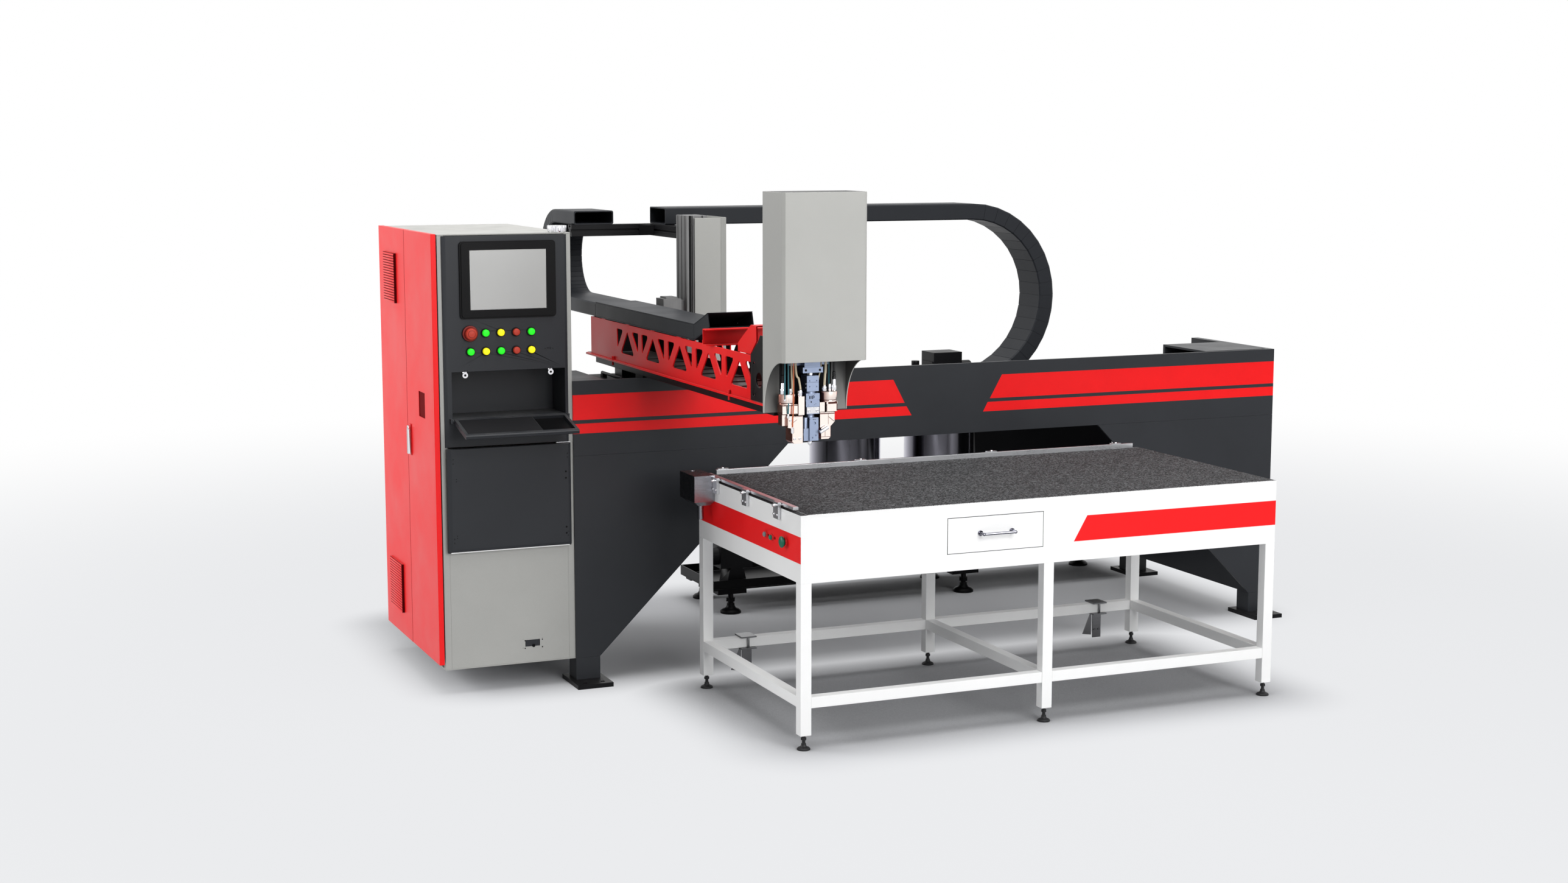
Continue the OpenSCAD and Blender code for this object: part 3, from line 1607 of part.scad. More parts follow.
front_panel();
main_beam();
side_frames();
anchor_feet();
beam_covers();
x_rails();
platform();
tanks();
feed_motors();
supply_housing();
x_chain_lower();
cabinet_shell();
cabinet_front();
monitor();
control_rack();
cabinet_fittings();
keyboard_shelf();
lower_door();
side_door_front();
side_door_rear();
door_handle();
emergency_stop();
cabinet_button(0);  // button_1
cabinet_button(1);  // button_2
cabinet_button(2);  // button_3
cabinet_button(3);  // button_4
cabinet_button(4);  // button_5
cabinet_button(5);  // button_6
cabinet_button(6);  // button_7
cabinet_button(7);  // button_8
cabinet_button(8);  // button_9
table_body();
table_top();
table_frame();
table_feet();
fence_bars();
table_brackets();
purge_box();
table_button_grey();
table_button_green();
table_stop();
drawer();
drawer_handle();
carriage();
column();
column_cover();
chain_frame();
carriage_ducts();
x_chain_loop();
y_chain_loop();
arm_truss();
arm_beam();
y_chain_lower();
head_cover();
z_axis();
head_block();
valve_blocks();
head_fittings();
hoses();
rotor();
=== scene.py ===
# %% [markdown]
# # Foam gasket machine
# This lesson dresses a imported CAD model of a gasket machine: a worktable, a beam with a
# travelling truss arm, a mixing head, two drag chains, tanks and a control cabinet.
# The solids are already at their real size and place, so the first step only loads them.

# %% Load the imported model
import math
import random

import bmesh
import bpy
from mathutils import Matrix, Vector


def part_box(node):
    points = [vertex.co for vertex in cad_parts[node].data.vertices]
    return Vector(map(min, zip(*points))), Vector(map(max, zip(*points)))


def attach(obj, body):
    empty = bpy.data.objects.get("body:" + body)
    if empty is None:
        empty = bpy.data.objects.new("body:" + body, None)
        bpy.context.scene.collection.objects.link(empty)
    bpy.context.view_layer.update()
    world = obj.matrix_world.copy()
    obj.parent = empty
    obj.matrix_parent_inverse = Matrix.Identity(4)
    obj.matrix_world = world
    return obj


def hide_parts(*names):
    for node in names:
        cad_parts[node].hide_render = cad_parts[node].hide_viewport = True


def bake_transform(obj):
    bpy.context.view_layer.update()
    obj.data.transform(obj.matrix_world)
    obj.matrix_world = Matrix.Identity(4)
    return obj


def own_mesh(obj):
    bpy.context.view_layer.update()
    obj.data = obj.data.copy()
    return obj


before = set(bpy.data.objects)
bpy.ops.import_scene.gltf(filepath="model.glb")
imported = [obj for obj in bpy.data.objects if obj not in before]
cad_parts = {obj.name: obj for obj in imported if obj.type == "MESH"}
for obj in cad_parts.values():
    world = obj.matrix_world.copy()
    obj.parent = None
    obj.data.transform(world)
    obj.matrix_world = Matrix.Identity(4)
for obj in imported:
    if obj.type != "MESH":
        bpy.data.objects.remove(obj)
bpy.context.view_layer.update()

# %% [markdown]
# ## A ruler in the machine's own units
# A fitter measures this machine in millimetres from the worktable's front left corner.
# Blender works in metres from the middle of the footprint. One small function turns the
# first into the second, and it takes the corner from the loaded table, so every number
# below can be read as a tape measure would show it.

# %% Ruler
MM = 0.001
TABLE_LOW, TABLE_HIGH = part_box("table_top")


def at(x, y, z):
    """Point in metres from millimetres measured at the table's front left corner."""
    return Vector((TABLE_LOW.x + x * MM, TABLE_LOW.y + y * MM, z * MM))


def measured(node):
    """A CAD node's box in millimetres from the table's corner."""
    low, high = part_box(node)
    return [[(corner.x - TABLE_LOW.x) / MM, (corner.y - TABLE_LOW.y) / MM, corner.z / MM]
            for corner in (low, high)]


def rectangle(a, b):
    """Four corners between two pairs of values, in turn."""
    return [(a[0], b[0]), (a[1], b[0]), (a[1], b[1]), (a[0], b[1])]


print("table top:", [round(v) for v in (TABLE_HIGH - TABLE_LOW) / MM], "mm")

# %% [markdown]
# ## The camera
# The view stands in front of the left half, about 8 degrees above the horizon, and looks
# a little to the right. A 50 mm lens keeps the long beam from bulging.

# %% Camera
CAMERA_PLACE = at(-3009.4, -6909.7, 2173.5)
CAMERA_TILT = 81.9823
CAMERA_TURN = -23.0888
LENS = 50.2


def placed(name, data):
    """New object in the scene's own collection."""
    piece = bpy.data.objects.new(name, data)
    bpy.context.scene.collection.objects.link(piece)
    return piece


camera = placed("camera", bpy.data.cameras.new("camera"))
camera.location = CAMERA_PLACE
camera.rotation_euler = (math.radians(CAMERA_TILT), 0, math.radians(CAMERA_TURN))
camera.data.lens = LENS
camera.data.clip_end = 200
bpy.context.scene.camera = camera
bpy.context.scene.view_settings.view_transform = "Standard"
print("camera at", [round(v, 2) for v in camera.location])

# %% [markdown]
# ## Wiring helpers
# A shader is a graph. Setting it up by hand takes many clicks, and in code many lines,
# so small helpers do the repeated work: one adds a node with its values or links, and the
# others add one common kind of node and return its result.

# %% Wiring helpers
def put(tree, kind, values=None, **settings):
    """Adds a shader node, sets its properties, and sets or links its inputs."""
    node = tree.nodes.new("ShaderNode" + kind)
    for key, value in settings.items():
        setattr(node, key, value)
    for key, value in (values or {}).items():
        if isinstance(value, bpy.types.NodeSocket):
            tree.links.new(value, node.inputs[key])
        else:
            node.inputs[key].default_value = value
    return node


def calc(tree, operation, a, b=0.0, clamp=False):
    """Result of one Math node."""
    return put(tree, "Math", {0: a, 1: b}, operation=operation, use_clamp=clamp).outputs[0]


def spread(tree, value, low, high, to_low=0.0, to_high=1.0):
    """Maps a value from one range to another, clamped."""
    node = put(tree, "MapRange", {"Value": value, "From Min": low, "From Max": high,
                                  "To Min": to_low, "To Max": to_high})
    return node.outputs[0]


def product(tree, first, *others):
    """Product of several values."""
    for other in others:
        first = calc(tree, "MULTIPLY", first, other)
    return first


def mixed(tree, factor, one, two):
    """Colour between two colours."""
    return put(tree, "Mix", {"Factor": factor, 6: one, 7: two}, data_type="RGBA").outputs[2]


def scaled(tree, tone, factor):
    """Colour or vector times a number."""
    return put(tree, "VectorMath", {0: tone, "Scale": factor}, operation="SCALE").outputs[0]


def parts_of(tree, vector):
    """The X, Y and Z outputs of a vector."""
    return put(tree, "SeparateXYZ", {0: vector}).outputs


def noise(tree, place, scale, detail, roughness=0.5):
    """Value of one noise texture."""
    return put(tree, "TexNoise", {"Vector": place, "Scale": scale, "Detail": detail,
                                  "Roughness": roughness}).outputs["Fac"]


def seen_directly(tree):
    """1 for rays from the lens, through glass or off a mirror."""
    rays = put(tree, "LightPath").outputs
    seen = calc(tree, "MAXIMUM", rays["Is Camera Ray"], rays["Is Transmission Ray"])
    return calc(tree, "MAXIMUM", seen, rays["Is Glossy Ray"])


def colour(red, green, blue):
    """Linear colour from the 0 to 255 values a picture shows."""
    def linear(v):
        v /= 255
        return v / 12.92 if v <= 0.04045 else ((v + 0.055) / 1.055) ** 2.4
    return (linear(red), linear(green), linear(blue), 1.0)


print("mid grey is", round(colour(128, 128, 128)[0], 3), "in linear light")

# %% [markdown]
# ## Floor
# The machine stands in a white studio. The floor is one large sheet that takes the soft
# shadow near the machine and turns into plain white further out, so no horizon shows. A
# curved backdrop would do the same, but it would also throw light back on the machine.

# %% Floor
FLOOR_SIDE = (-60.0, 60.0)
FADE_START = 3.0
FADE_END = 9.0
FOOTPRINTS = [(0.06, -0.67, 0.95, 0.45), (0.0, 0.8, 1.7, 0.6)]
SHADOW_REACH = 0.42
OPEN_FLOOR = 0.92
# Reach and depth of the painted shadow on the floor under the table
TABLE_REACH = 0.35
TABLE_SHADOW = 0.2
WHITE_LIGHT = (1, 1, 1, 1)


def empty_tree(owner):
    """Node tree of a material or a world, cleared."""
    owner.use_nodes = True
    owner.node_tree.nodes.clear()
    return owner.node_tree


sheet = bpy.data.meshes.new("floor")
sheet.from_pydata([(x, y, 0) for x, y in rectangle(FLOOR_SIDE, FLOOR_SIDE)], [], [(0, 1, 2, 3)])
floor = placed("floor", sheet)
floor_paint = bpy.data.materials.new("studio_floor")
tree = empty_tree(floor_paint)
place = put(tree, "TexCoord").outputs["Object"]
reach = put(tree, "VectorMath", {0: place}, operation="LENGTH").outputs["Value"]
far = spread(tree, reach, FADE_START, FADE_END)
far.node.interpolation_type = "SMOOTHSTEP"
seen = seen_directly(tree)
far = product(tree, far, seen)
axes = parts_of(tree, place)
gaps = []
for middle_x, middle_y, half_x, half_y in FOOTPRINTS:
    squares = []
    for axis, middle, half in ((axes[0], middle_x, half_x), (axes[1], middle_y, half_y)):
        distance = calc(tree, "ABSOLUTE", calc(tree, "SUBTRACT", axis, middle))
        beyond = calc(tree, "MAXIMUM", calc(tree, "SUBTRACT", distance, half), 0.0)
        squares.append(product(tree, beyond, beyond))
    gaps.append(calc(tree, "SQRT", calc(tree, "ADD", *squares)))
gap = calc(tree, "MINIMUM", *gaps)
open_floor = spread(tree, gap, 0.0, SHADOW_REACH, 0.0, OPEN_FLOOR)
open_floor.node.interpolation_type = "SMOOTHSTEP"
open_floor = product(tree, open_floor, seen)
cloud = noise(tree, place, 0.6, 2.0)
tone = mixed(tree, cloud, colour(204, 205, 208), colour(212, 213, 216))
# Under the table the floor's own colour gets darker where ambient occlusion finds cover: a painted shadow
sky_seen = put(tree, "AmbientOcclusion", {"Distance": 1.0}, samples=6).outputs["AO"]
table_shadow = spread(tree, sky_seen, 0.2, 0.95, 1.0 - TABLE_SHADOW, 0.0)
below_table = spread(tree, gaps[0], 0.0, TABLE_REACH, 1.0, 0.0)
shade = calc(tree, "SUBTRACT", 1.0, product(tree, table_shadow, below_table))
matt = put(tree, "BsdfPrincipled", {"Base Color": scaled(tree, tone, shade), "Roughness": 0.75,
                                   "Specular IOR Level": 0.2})
glow = put(tree, "Emission", {"Color": WHITE_LIGHT, "Strength": 1.0})
pale = put(tree, "Emission", {"Color": colour(236, 237, 239), "Strength": 1.0})
near = put(tree, "MixShader", {0: open_floor, 1: matt.outputs[0], 2: pale.outputs[0]})
blend = put(tree, "MixShader", {0: far, 1: near.outputs[0], 2: glow.outputs[0]})
put(tree, "OutputMaterial", {"Surface": blend.outputs[0]})
floor.data.materials.append(floor_paint)
print("floor fades to white between", FADE_START, "and", FADE_END, "m")

# %% [markdown]
# ## The world
# The world is the light that comes from everywhere. It could be a picture of a studio, but
# plain white is enough here: full white where it is seen, and a tenth of it on the paint.

# %% World
WORLD_LIGHT = 0.1

world = bpy.data.worlds.new("studio")
bpy.context.scene.world = world
tree = empty_tree(world)
level = spread(tree, seen_directly(tree), 0.0, 1.0, WORLD_LIGHT, 1.0)
sky = put(tree, "Background", {"Color": WHITE_LIGHT, "Strength": level})
put(tree, "OutputWorld", {"Surface": sky.outputs[0]})
print("world light", WORLD_LIGHT)

# %% [markdown]
# ## Lamps
# Three large soft panels: one far on the left that brightens the cabinet's red doors, one
# from the front for the worktable, and one from above. Large panels give wide, faint
# shadows and long calm highlights on paint and steel.

# %% Lamps
def soft_panel(name, place, target, size, power):
    """Square lamp that looks at a target; power is in watts."""
    lamp = bpy.data.lights.new(name, "AREA")
    lamp.shape = "SQUARE"
    lamp.size = size
    lamp.energy = power
    piece = placed(name, lamp)
    piece.location = place
    piece.rotation_euler = (Vector(target) - Vector(place)).to_track_quat("-Z", "Y").to_euler()


MIDDLE = (0, 0, 0.9)
CABINET = (-1.7, 0.4, 1.0)
POWER = {"left": 335, "front": 455, "top": 380}
soft_panel("panel_left", (-8.0, 3.5, 3.5), CABINET, 4.0, POWER["left"])
soft_panel("panel_front", (0.6, -8.0, 4.0), MIDDLE, 5.0, POWER["front"])
soft_panel("panel_top", (-0.5, -0.8, 7.0), MIDDLE, 6.0, POWER["top"])
print("lamps:", len(POWER))

# %% [markdown]
# ## Shared effect: powder coat
# Almost every sheet of this machine is powder coated. Up close such a coat isn't flat: it
# has a fine orange peel, small differences in gloss, and a barely visible mottle. All of
# that comes from two noises in one node group, which every paint places with its own values.

# %% Group helper and powder coat
def new_group(name, inputs, outputs):
    """Empty shader group with named sockets: (name, kind, start value)."""
    tree = bpy.data.node_groups.new(name, "ShaderNodeTree")
    for label, kind, start in inputs:
        socket = tree.interface.new_socket(label, in_out="INPUT", socket_type=kind)
        if start is not None:
            socket.default_value = start
    for label, kind in outputs:
        tree.interface.new_socket(label, in_out="OUTPUT", socket_type=kind)
    return tree, tree.nodes.new("NodeGroupInput").outputs, tree.nodes.new("NodeGroupOutput").inputs


def deliver(tree, result, **values):
    """Links a group's results to its outputs."""
    for label, value in values.items():
        tree.links.new(value, result[label])
    print("group", tree.name, "with", len(tree.nodes), "nodes")


NUMBER = "NodeSocketFloat"
ARROW = "NodeSocketVector"
TINT = "NodeSocketColor"

powder_coat, source, result = new_group(
    "powder_coat",
    [("Place", ARROW, None), ("Paint", TINT, (0.5, 0.5, 0.5, 1)), ("Peel Scale", NUMBER, 420.0),
     ("Mottle", NUMBER, 0.12), ("Gloss", NUMBER, 0.4)],
    [("Paint", TINT), ("Roughness", NUMBER), ("Height", NUMBER)])
g = powder_coat
peel = noise(g, source["Place"], source["Peel Scale"], 3.0, 0.6)
wide = noise(g, source["Place"], 3.5, 4.0, 0.55)
fleck = spread(g, peel, 0.3, 0.7, -0.5, 0.5)
drift = spread(g, wide, 0.3, 0.7, -0.5, 0.5)
shade = product(g, calc(g, "ADD", product(g, fleck, 0.7), drift), source["Mottle"])
rough = calc(g, "ADD", source["Gloss"], product(g, drift, 0.12))
deliver(g, result, Paint=scaled(g, source["Paint"], calc(g, "ADD", 1.0, shade)), Roughness=rough, Height=peel)

# %% [markdown]
# ## Shared effect: dust and top light
# Dust only lies on faces that look up. The group reads the surface's own normal, keeps the
# upward part, and breaks it up with noise. It gives a faint pale veil on lids and rails. Set
# high, as on the cabinet's grey paint, the veil also lightens the top faces as light from
# above does: a painted highlight.

# %% Dust group
dust_and_top_light, source, result = new_group(
    "dust_and_top_light",
    [("Place", ARROW, None), ("Facing", ARROW, None), ("Paint", TINT, (0.5, 0.5, 0.5, 1)),
     ("Amount", NUMBER, 0.12)],
    [("Paint", TINT), ("Mask", NUMBER)])
g = dust_and_top_light
lying = spread(g, parts_of(g, source["Facing"])["Z"], 0.7, 1.0)
patchy = spread(g, noise(g, source["Place"], 9.0, 6.0, 0.65), 0.3, 0.75)
mask = product(g, lying, patchy, source["Amount"])
deliver(g, result, Paint=mixed(g, mask, source["Paint"], colour(205, 204, 200)), Mask=mask)

# %% [markdown]
# ## Shared effect: slanted band
# The red bands on the front panel and the table are painted, not separate parts. Each is a
# strip between two heights whose ends are cut at a slant. The group turns a point into 1
# inside such a strip and 0 outside, with an edge as crisp as a masked spray.

# %% Slanted band group
EDGE = 0.0006
slanted_band, source, result = new_group(
    "slanted_band",
    [("Along", NUMBER, 0.0), ("Up", NUMBER, 0.0), ("Low", NUMBER, 0.0), ("High", NUMBER, 1.0),
     ("Start Low", NUMBER, 0.0), ("Start High", NUMBER, 0.0), ("End Low", NUMBER, 1.0),
     ("End High", NUMBER, 1.0)],
    [("Mask", NUMBER)])
g = slanted_band
above = calc(g, "SUBTRACT", source["Up"], source["Low"])
rise = calc(g, "DIVIDE", above, calc(g, "SUBTRACT", source["High"], source["Low"]))
slants = []
for label in ("Start", "End"):
    slope = calc(g, "SUBTRACT", source[label + " High"], source[label + " Low"])
    slants.append(calc(g, "ADD", source[label + " Low"], product(g, rise, slope)))
inside = spread(g, above, -EDGE, EDGE)
for high, low in ((source["High"], source["Up"]), (source["Along"], slants[0]), (slants[1], source["Along"])):
    inside = product(g, inside, spread(g, calc(g, "SUBTRACT", high, low), -EDGE, EDGE))
deliver(g, result, Mask=inside)

# %% [markdown]
# ## Shared effect: machined metal
# Ground, brushed and anodised metal all show fine lines left by a tool. Stretching a noise
# along one direction gives those lines: they vary the gloss and the height a little.

# %% Machined metal group
machined, source, result = new_group(
    "machined",
    [("Place", ARROW, None), ("Stretch", ARROW, (40.0, 900.0, 900.0)),
     ("Metal", TINT, (0.6, 0.6, 0.6, 1)), ("Gloss", NUMBER, 0.3), ("Unevenness", NUMBER, 0.12)],
    [("Metal", TINT), ("Roughness", NUMBER), ("Height", NUMBER)])
g = machined
stretched = put(g, "VectorMath", {0: source["Place"], 1: source["Stretch"]}, operation="MULTIPLY")
lines = noise(g, stretched.outputs[0], 1.0, 4.0, 0.7)
cloudy = noise(g, source["Place"], 11.0, 3.0)
swing = calc(g, "ADD", spread(g, lines, 0.25, 0.75, -0.6, 0.6), spread(g, cloudy, 0.3, 0.7, -0.4, 0.4))
swing = product(g, swing, source["Unevenness"])
tinted = scaled(g, source["Metal"], calc(g, "SUBTRACT", 1.0, product(g, swing, 0.8)))
deliver(g, result, Metal=tinted, Roughness=calc(g, "ADD", source["Gloss"], swing), Height=lines)

# %% [markdown]
# ## Paints
# A paint is a Principled shader fed by the powder coat and a little dust, which on the
# cabinet's grey paint also stands in for light on the top faces: a painted highlight. The bump
# is only some hundredths of a millimetre deep, as on the real coat. A painter could model each
# peel bump as geometry, but at this scale the light can't tell the difference.

# %% Paint material
COAT_DEPTH = 0.00005
CALM = 0.9
finish = {}


def new_finish(name):
    """Keeps a new material under its name; gives its empty tree, object-space place and normal."""
    finish[name] = bpy.data.materials.new(name)
    tree = empty_tree(finish[name])
    spot = put(tree, "TexCoord").outputs
    return tree, spot["Object"], spot["Normal"]


def close_finish(tree, height, depth, sockets):
    """Adds the bump, the Principled shader and the output."""
    bump = put(tree, "Bump", {"Strength": 1.0, "Distance": depth, "Height": height})
    shader = put(tree, "BsdfPrincipled", {**sockets, "Normal": bump.outputs["Normal"]})
    put(tree, "OutputMaterial", {"Surface": shader.outputs[0]})


def use(tree, group, **values):
    """Outputs of a group that is placed with its own values."""
    return put(tree, "Group", values, node_tree=group).outputs


def painted(name, paint, gloss, mottle=0.1, dust=0.1, shine=0.25, masks=()):
    """Powder-coated sheet; masks are (tree function giving a mask, colour) pairs."""
    tree, place, facing = new_finish(name)
    for mask_of, other in masks:
        paint = mixed(tree, mask_of(tree, place), paint, other)
    coat = use(tree, powder_coat, Place=place, Paint=paint, Mottle=mottle, Gloss=gloss)
    veiled = use(tree, dust_and_top_light, Place=place, Facing=facing, Paint=coat["Paint"], Amount=dust)["Paint"]
    # Light that bounces off the paint is nearly grey, so the red doesn't stain its neighbours
    bounced = product(tree, put(tree, "LightPath").outputs["Is Diffuse Ray"], CALM)
    grey = put(tree, "RGBToBW", {0: veiled}).outputs[0]
    close_finish(tree, coat["Height"], COAT_DEPTH,
                 {"Base Color": mixed(tree, bounced, veiled, grey), "Roughness": coat["Roughness"],
                  "Specular IOR Level": shine})


RED = colour(250, 20, 24)
SHADE_RED = colour(112, 12, 15)
CHARCOAL = colour(40, 42, 46)
WHITE = colour(250, 250, 249)

painted("charcoal_paint", CHARCOAL, 0.42, mottle=0.14)
painted("black_paint", colour(20, 20, 22), 0.4, mottle=0.18, dust=0.03, shine=0.1)
painted("red_paint", RED, 0.38, mottle=0.06)
# Its strong pale veil lightens the cabinet's top faces: dust and a painted highlight of the light from above
painted("grey_paint", colour(176, 176, 172), 0.5, mottle=0.07, dust=0.8)
painted("chain_paint", colour(37, 39, 43), 0.45, mottle=0.14, dust=0.0, shine=0.14)
# Red paint as dark as it looks in deep shade: the finish of painted shade in gaps, recesses and under slats
painted("shaded_red", SHADE_RED, 0.7, mottle=0.12, dust=0.0, shine=0.04)
painted("white_paint", WHITE, 0.4, mottle=0.03, dust=0.0)
print("paints:", sorted(finish))

# %% [markdown]
# ## Bands on the front panel and on the table
# The panel has a broad and a narrow red band that run its whole width, with a slanted bare
# field in the middle. The table has a slanted band on the right of its front and a plain
# one on its left side. The same group draws them all, only the heights and ends differ.

# %% Banded paints
def band(low, high, start, end, axis="X"):
    """Function that adds one band; start and end are (at the low edge, at the high edge) in mm."""
    def mask_of(tree, place):
        parts = parts_of(tree, place)
        offset = TABLE_LOW.x if axis == "X" else TABLE_LOW.y
        ends = {"Along": parts[axis], "Up": parts["Z"], "Low": low * MM, "High": high * MM,
                "Start Low": start[0] * MM + offset, "Start High": start[1] * MM + offset,
                "End Low": end[0] * MM + offset, "End High": end[1] * MM + offset}
        return use(tree, slanted_band, **ends)["Mask"]
    return mask_of


PANEL_LEFT = (-500, -500)
PANEL_RIGHT = (2900, 2900)
panel_bands = [
    (band(1060, 1159, PANEL_LEFT, (1008, 955)), RED),
    (band(1006, 1045, PANEL_LEFT, (1041, 1017)), RED),
    (band(1060, 1159.5, (1411, 1468), PANEL_RIGHT), RED),
    (band(1005, 1045, (1379, 1401), PANEL_RIGHT), RED),
]
painted("panel_paint", CHARCOAL, 0.42, mottle=0.12, masks=panel_bands)


def only_face(mask_of, axis, corner):
    """Keeps a band to the sheet's face nearest to the table's corner along an axis."""
    def masked(tree, place):
        near = calc(tree, "LESS_THAN", parts_of(tree, place)[axis], corner + FACE_SKIN * MM)
        return product(tree, mask_of(tree, place), near)
    return masked


FACE_SKIN = 0.5
table_bands = [
    (only_face(band(677, 772, (1103, 1159), (2100, 2100)), "Y", TABLE_LOW.y), RED),
    (only_face(band(676, 772, (-100, -100), (1100, 1100), axis="Y"), "X", TABLE_LOW.x), RED),
]
painted("table_paint", WHITE, 0.4, mottle=0.03, dust=0.0, masks=table_bands)
print("bands:", len(panel_bands) + len(table_bands))

# %% [markdown]
# ## Metals
# The tanks are bright rolled sheet, the handles are chrome, the head's blocks are blue-grey
# anodised and pale copper, and the column is an extrusion with lines along its length.
# All of them share the machined group, and only the direction of the lines, the colour
# and the gloss differ, apart from painted light: round mirrors get painted reflection bands,
# faces that look left a painted darker tone, and a few parts a painted shade at one height.

# %% Metal materials
def rim_shade(tree, bands):
    """Painted reflection across a mirror's curve: light and dark bands follow the angle at which it is seen.
    """
    turned_away = put(tree, "LayerWeight", {"Blend": 0.5}).outputs["Facing"]
    if not bands:
        return spread(tree, turned_away, 0.3, 0.95, 1.0, 0.3)
    wave = calc(tree, "COSINE", product(tree, calc(tree, "SQRT", turned_away), 2 * math.pi * bands))
    return spread(tree, wave, -1.0, 1.0, 0.1, 0.95)


SKIN_DEPTH = 0.00002


def metal(name, tone, gloss, stretch, unevenness=0.1, depth=SKIN_DEPTH, metallic=1.0, bands=None, left=None,
          masks=()):
    """Tooled metal; left is a darker tone on faces that look left, a painted shade and reflection of the dark
    parts on that side, and bands paint the reflection across a round mirror.
    """
    tree, place, facing = new_finish(name)
    tooled = use(tree, machined, Place=place, Stretch=stretch, Metal=tone, Gloss=gloss, Unevenness=unevenness)
    base = tooled["Metal"]
    if left is not None:
        turned_left = spread(tree, parts_of(tree, facing)["X"], -0.9, -0.3, 1.0, 0.0)
        base = mixed(tree, turned_left, base, left)
    for mask_of, other in masks:
        base = mixed(tree, mask_of(tree, place), base, other)
    if bands is not None:
        base = scaled(tree, base, rim_shade(tree, bands))
    close_finish(tree, tooled["Height"], depth,
                 {"Base Color": base, "Metallic": metallic, "Roughness": tooled["Roughness"]})


def height_mask(operation, level):
    """1 below or above a height in mm."""
    return lambda tree, place: calc(tree, operation, parts_of(tree, place)["Z"], level * MM)


ALONG_X = (30.0, 900.0, 900.0)
ALONG_Z = (900.0, 900.0, 20.0)
ROLLED = (900.0, 900.0, 30.0)
EVEN = (700.0, 700.0, 700.0)
metal("ground_steel", colour(214, 215, 218), 0.3, ALONG_X, 0.06)
metal("stainless", colour(212, 210, 222), 0.14, ROLLED, 0.06, bands=1)
metal("bright_chrome", colour(232, 232, 236), 0.07, EVEN, 0.03, 0.000005, bands=0)
metal("anodised", colour(138, 150, 174), 0.36, ALONG_Z, 0.1, metallic=0.75,
     left=colour(84, 94, 114))
metal("profile_alu", colour(112, 112, 112), 0.5, ALONG_Z, 0.14, metallic=0.3)
# Near-white so the fronts read bright, a painted highlight; faces that look left take a brown tone, a painted
# reflection of the dark red arm beside them
metal("valve_copper", colour(253, 238, 230), 0.2, ALONG_Z, 0.06, left=colour(150, 104, 92))
metal("handle_chrome", colour(196, 196, 210), 0.1, EVEN, 0.03, 0.000005, bands=1)
# Below 400 mm, in the shade under the table, the steel takes a darker tone: painted shade
metal("bracket_steel", colour(214, 215, 218), 0.3, ALONG_X, 0.06,
     masks=[(height_mask("LESS_THAN", 400), colour(116, 116, 118))])
# Darker steel, darker faces to the left and a dark reddish top above 873 mm: painted reflection of the dark
# base and the red parts around the box
metal("box_steel", colour(150, 150, 156), 0.26, ALONG_X, 0.06, left=colour(52, 52, 56),
     masks=[(height_mask("GREATER_THAN", 873), colour(88, 76, 76))])
print("paints and metals:", len(finish))

# %% [markdown]
# ## Plastics
# Buttons, feet, bezels and hoses are moulded. Their skin has an even fine texture, and the
# lenses of the push buttons are glossy and slightly see-through, which a coat layer on a
# saturated base shows well enough at this distance.

# %% Plastic materials
def moulded(name, tone, gloss, coat=0.0, texture=900.0, mottle=0.06, glow=0.0, shine=0.3):
    """Moulded skin; glow is a painted light: an emission that brightens a lens a little in its own colour."""
    tree, place, _ = new_finish(name)
    skin = use(tree, powder_coat, **{"Place": place, "Paint": tone, "Peel Scale": texture, "Mottle": mottle,
                                     "Gloss": gloss})
    close_finish(tree, skin["Height"], SKIN_DEPTH,
                 {"Base Color": skin["Paint"], "Roughness": skin["Roughness"],
                  "Coat Weight": coat, "Coat Roughness": 0.08, "Specular IOR Level": shine,
                  "Emission Color": tone, "Emission Strength": glow})


moulded("screen_black", colour(22, 22, 23), 0.45, shine=0.08)
# The green, yellow and red lenses glow a little, a painted light that keeps them evenly bright
moulded("button_green", colour(36, 236, 36), 0.4, glow=0.5)
moulded("button_yellow", colour(250, 232, 24), 0.4, glow=0.5)
moulded("button_red", colour(172, 54, 38), 0.45, glow=0.25)
moulded("stop_green", colour(10, 104, 80), 0.4)
moulded("stop_ring", colour(122, 30, 22), 0.5)
moulded("green_lens", colour(24, 128, 104), 0.4)
moulded("button_grey", colour(140, 140, 142), 0.35, coat=0.2)
moulded("hose", colour(214, 200, 172), 0.3, coat=0.3, texture=300.0)
moulded("mat_dark", colour(30, 30, 32), 0.6, shine=0.1)
moulded("foot_rubber", colour(28, 28, 30), 0.5)
print("finishes so far:", len(finish))

# %% [markdown]
# ## The speckled work surface
# The top is a granular mat: grey and black crumbs about 3 mm across, bonded into a sheet.
# Voronoi cells make the crumbs. Each cell takes its own random grey, and the distance to
# the cell's edge gives the height, so light catches every crumb.

# %% Speckled top
granules, source, result = new_group(
    "granules",
    [("Place", ARROW, None), ("Crumbs", NUMBER, 210.0), ("Dark", TINT, colour(14, 14, 15)),
     ("Light", TINT, colour(116, 117, 119))],
    [("Colour", TINT), ("Height", NUMBER)])
g = granules
cells = put(g, "TexVoronoi", {"Vector": source["Place"], "Scale": source["Crumbs"]})
fine = noise(g, source["Place"], 900.0, 2.0)
patch = noise(g, source["Place"], 22.0, 5.0)
grey = put(g, "SeparateColor", {0: cells.outputs["Color"]}).outputs[0]
grey = product(g, grey, grey, spread(g, patch, 0.3, 0.7, 0.75, 1.1))
grey = calc(g, "ADD", grey, spread(g, fine, 0.3, 0.7, -0.12, 0.12), clamp=True)
deliver(g, result, Colour=mixed(g, grey, source["Dark"], source["Light"]),
        Height=calc(g, "SUBTRACT", grey, cells.outputs["Distance"]))

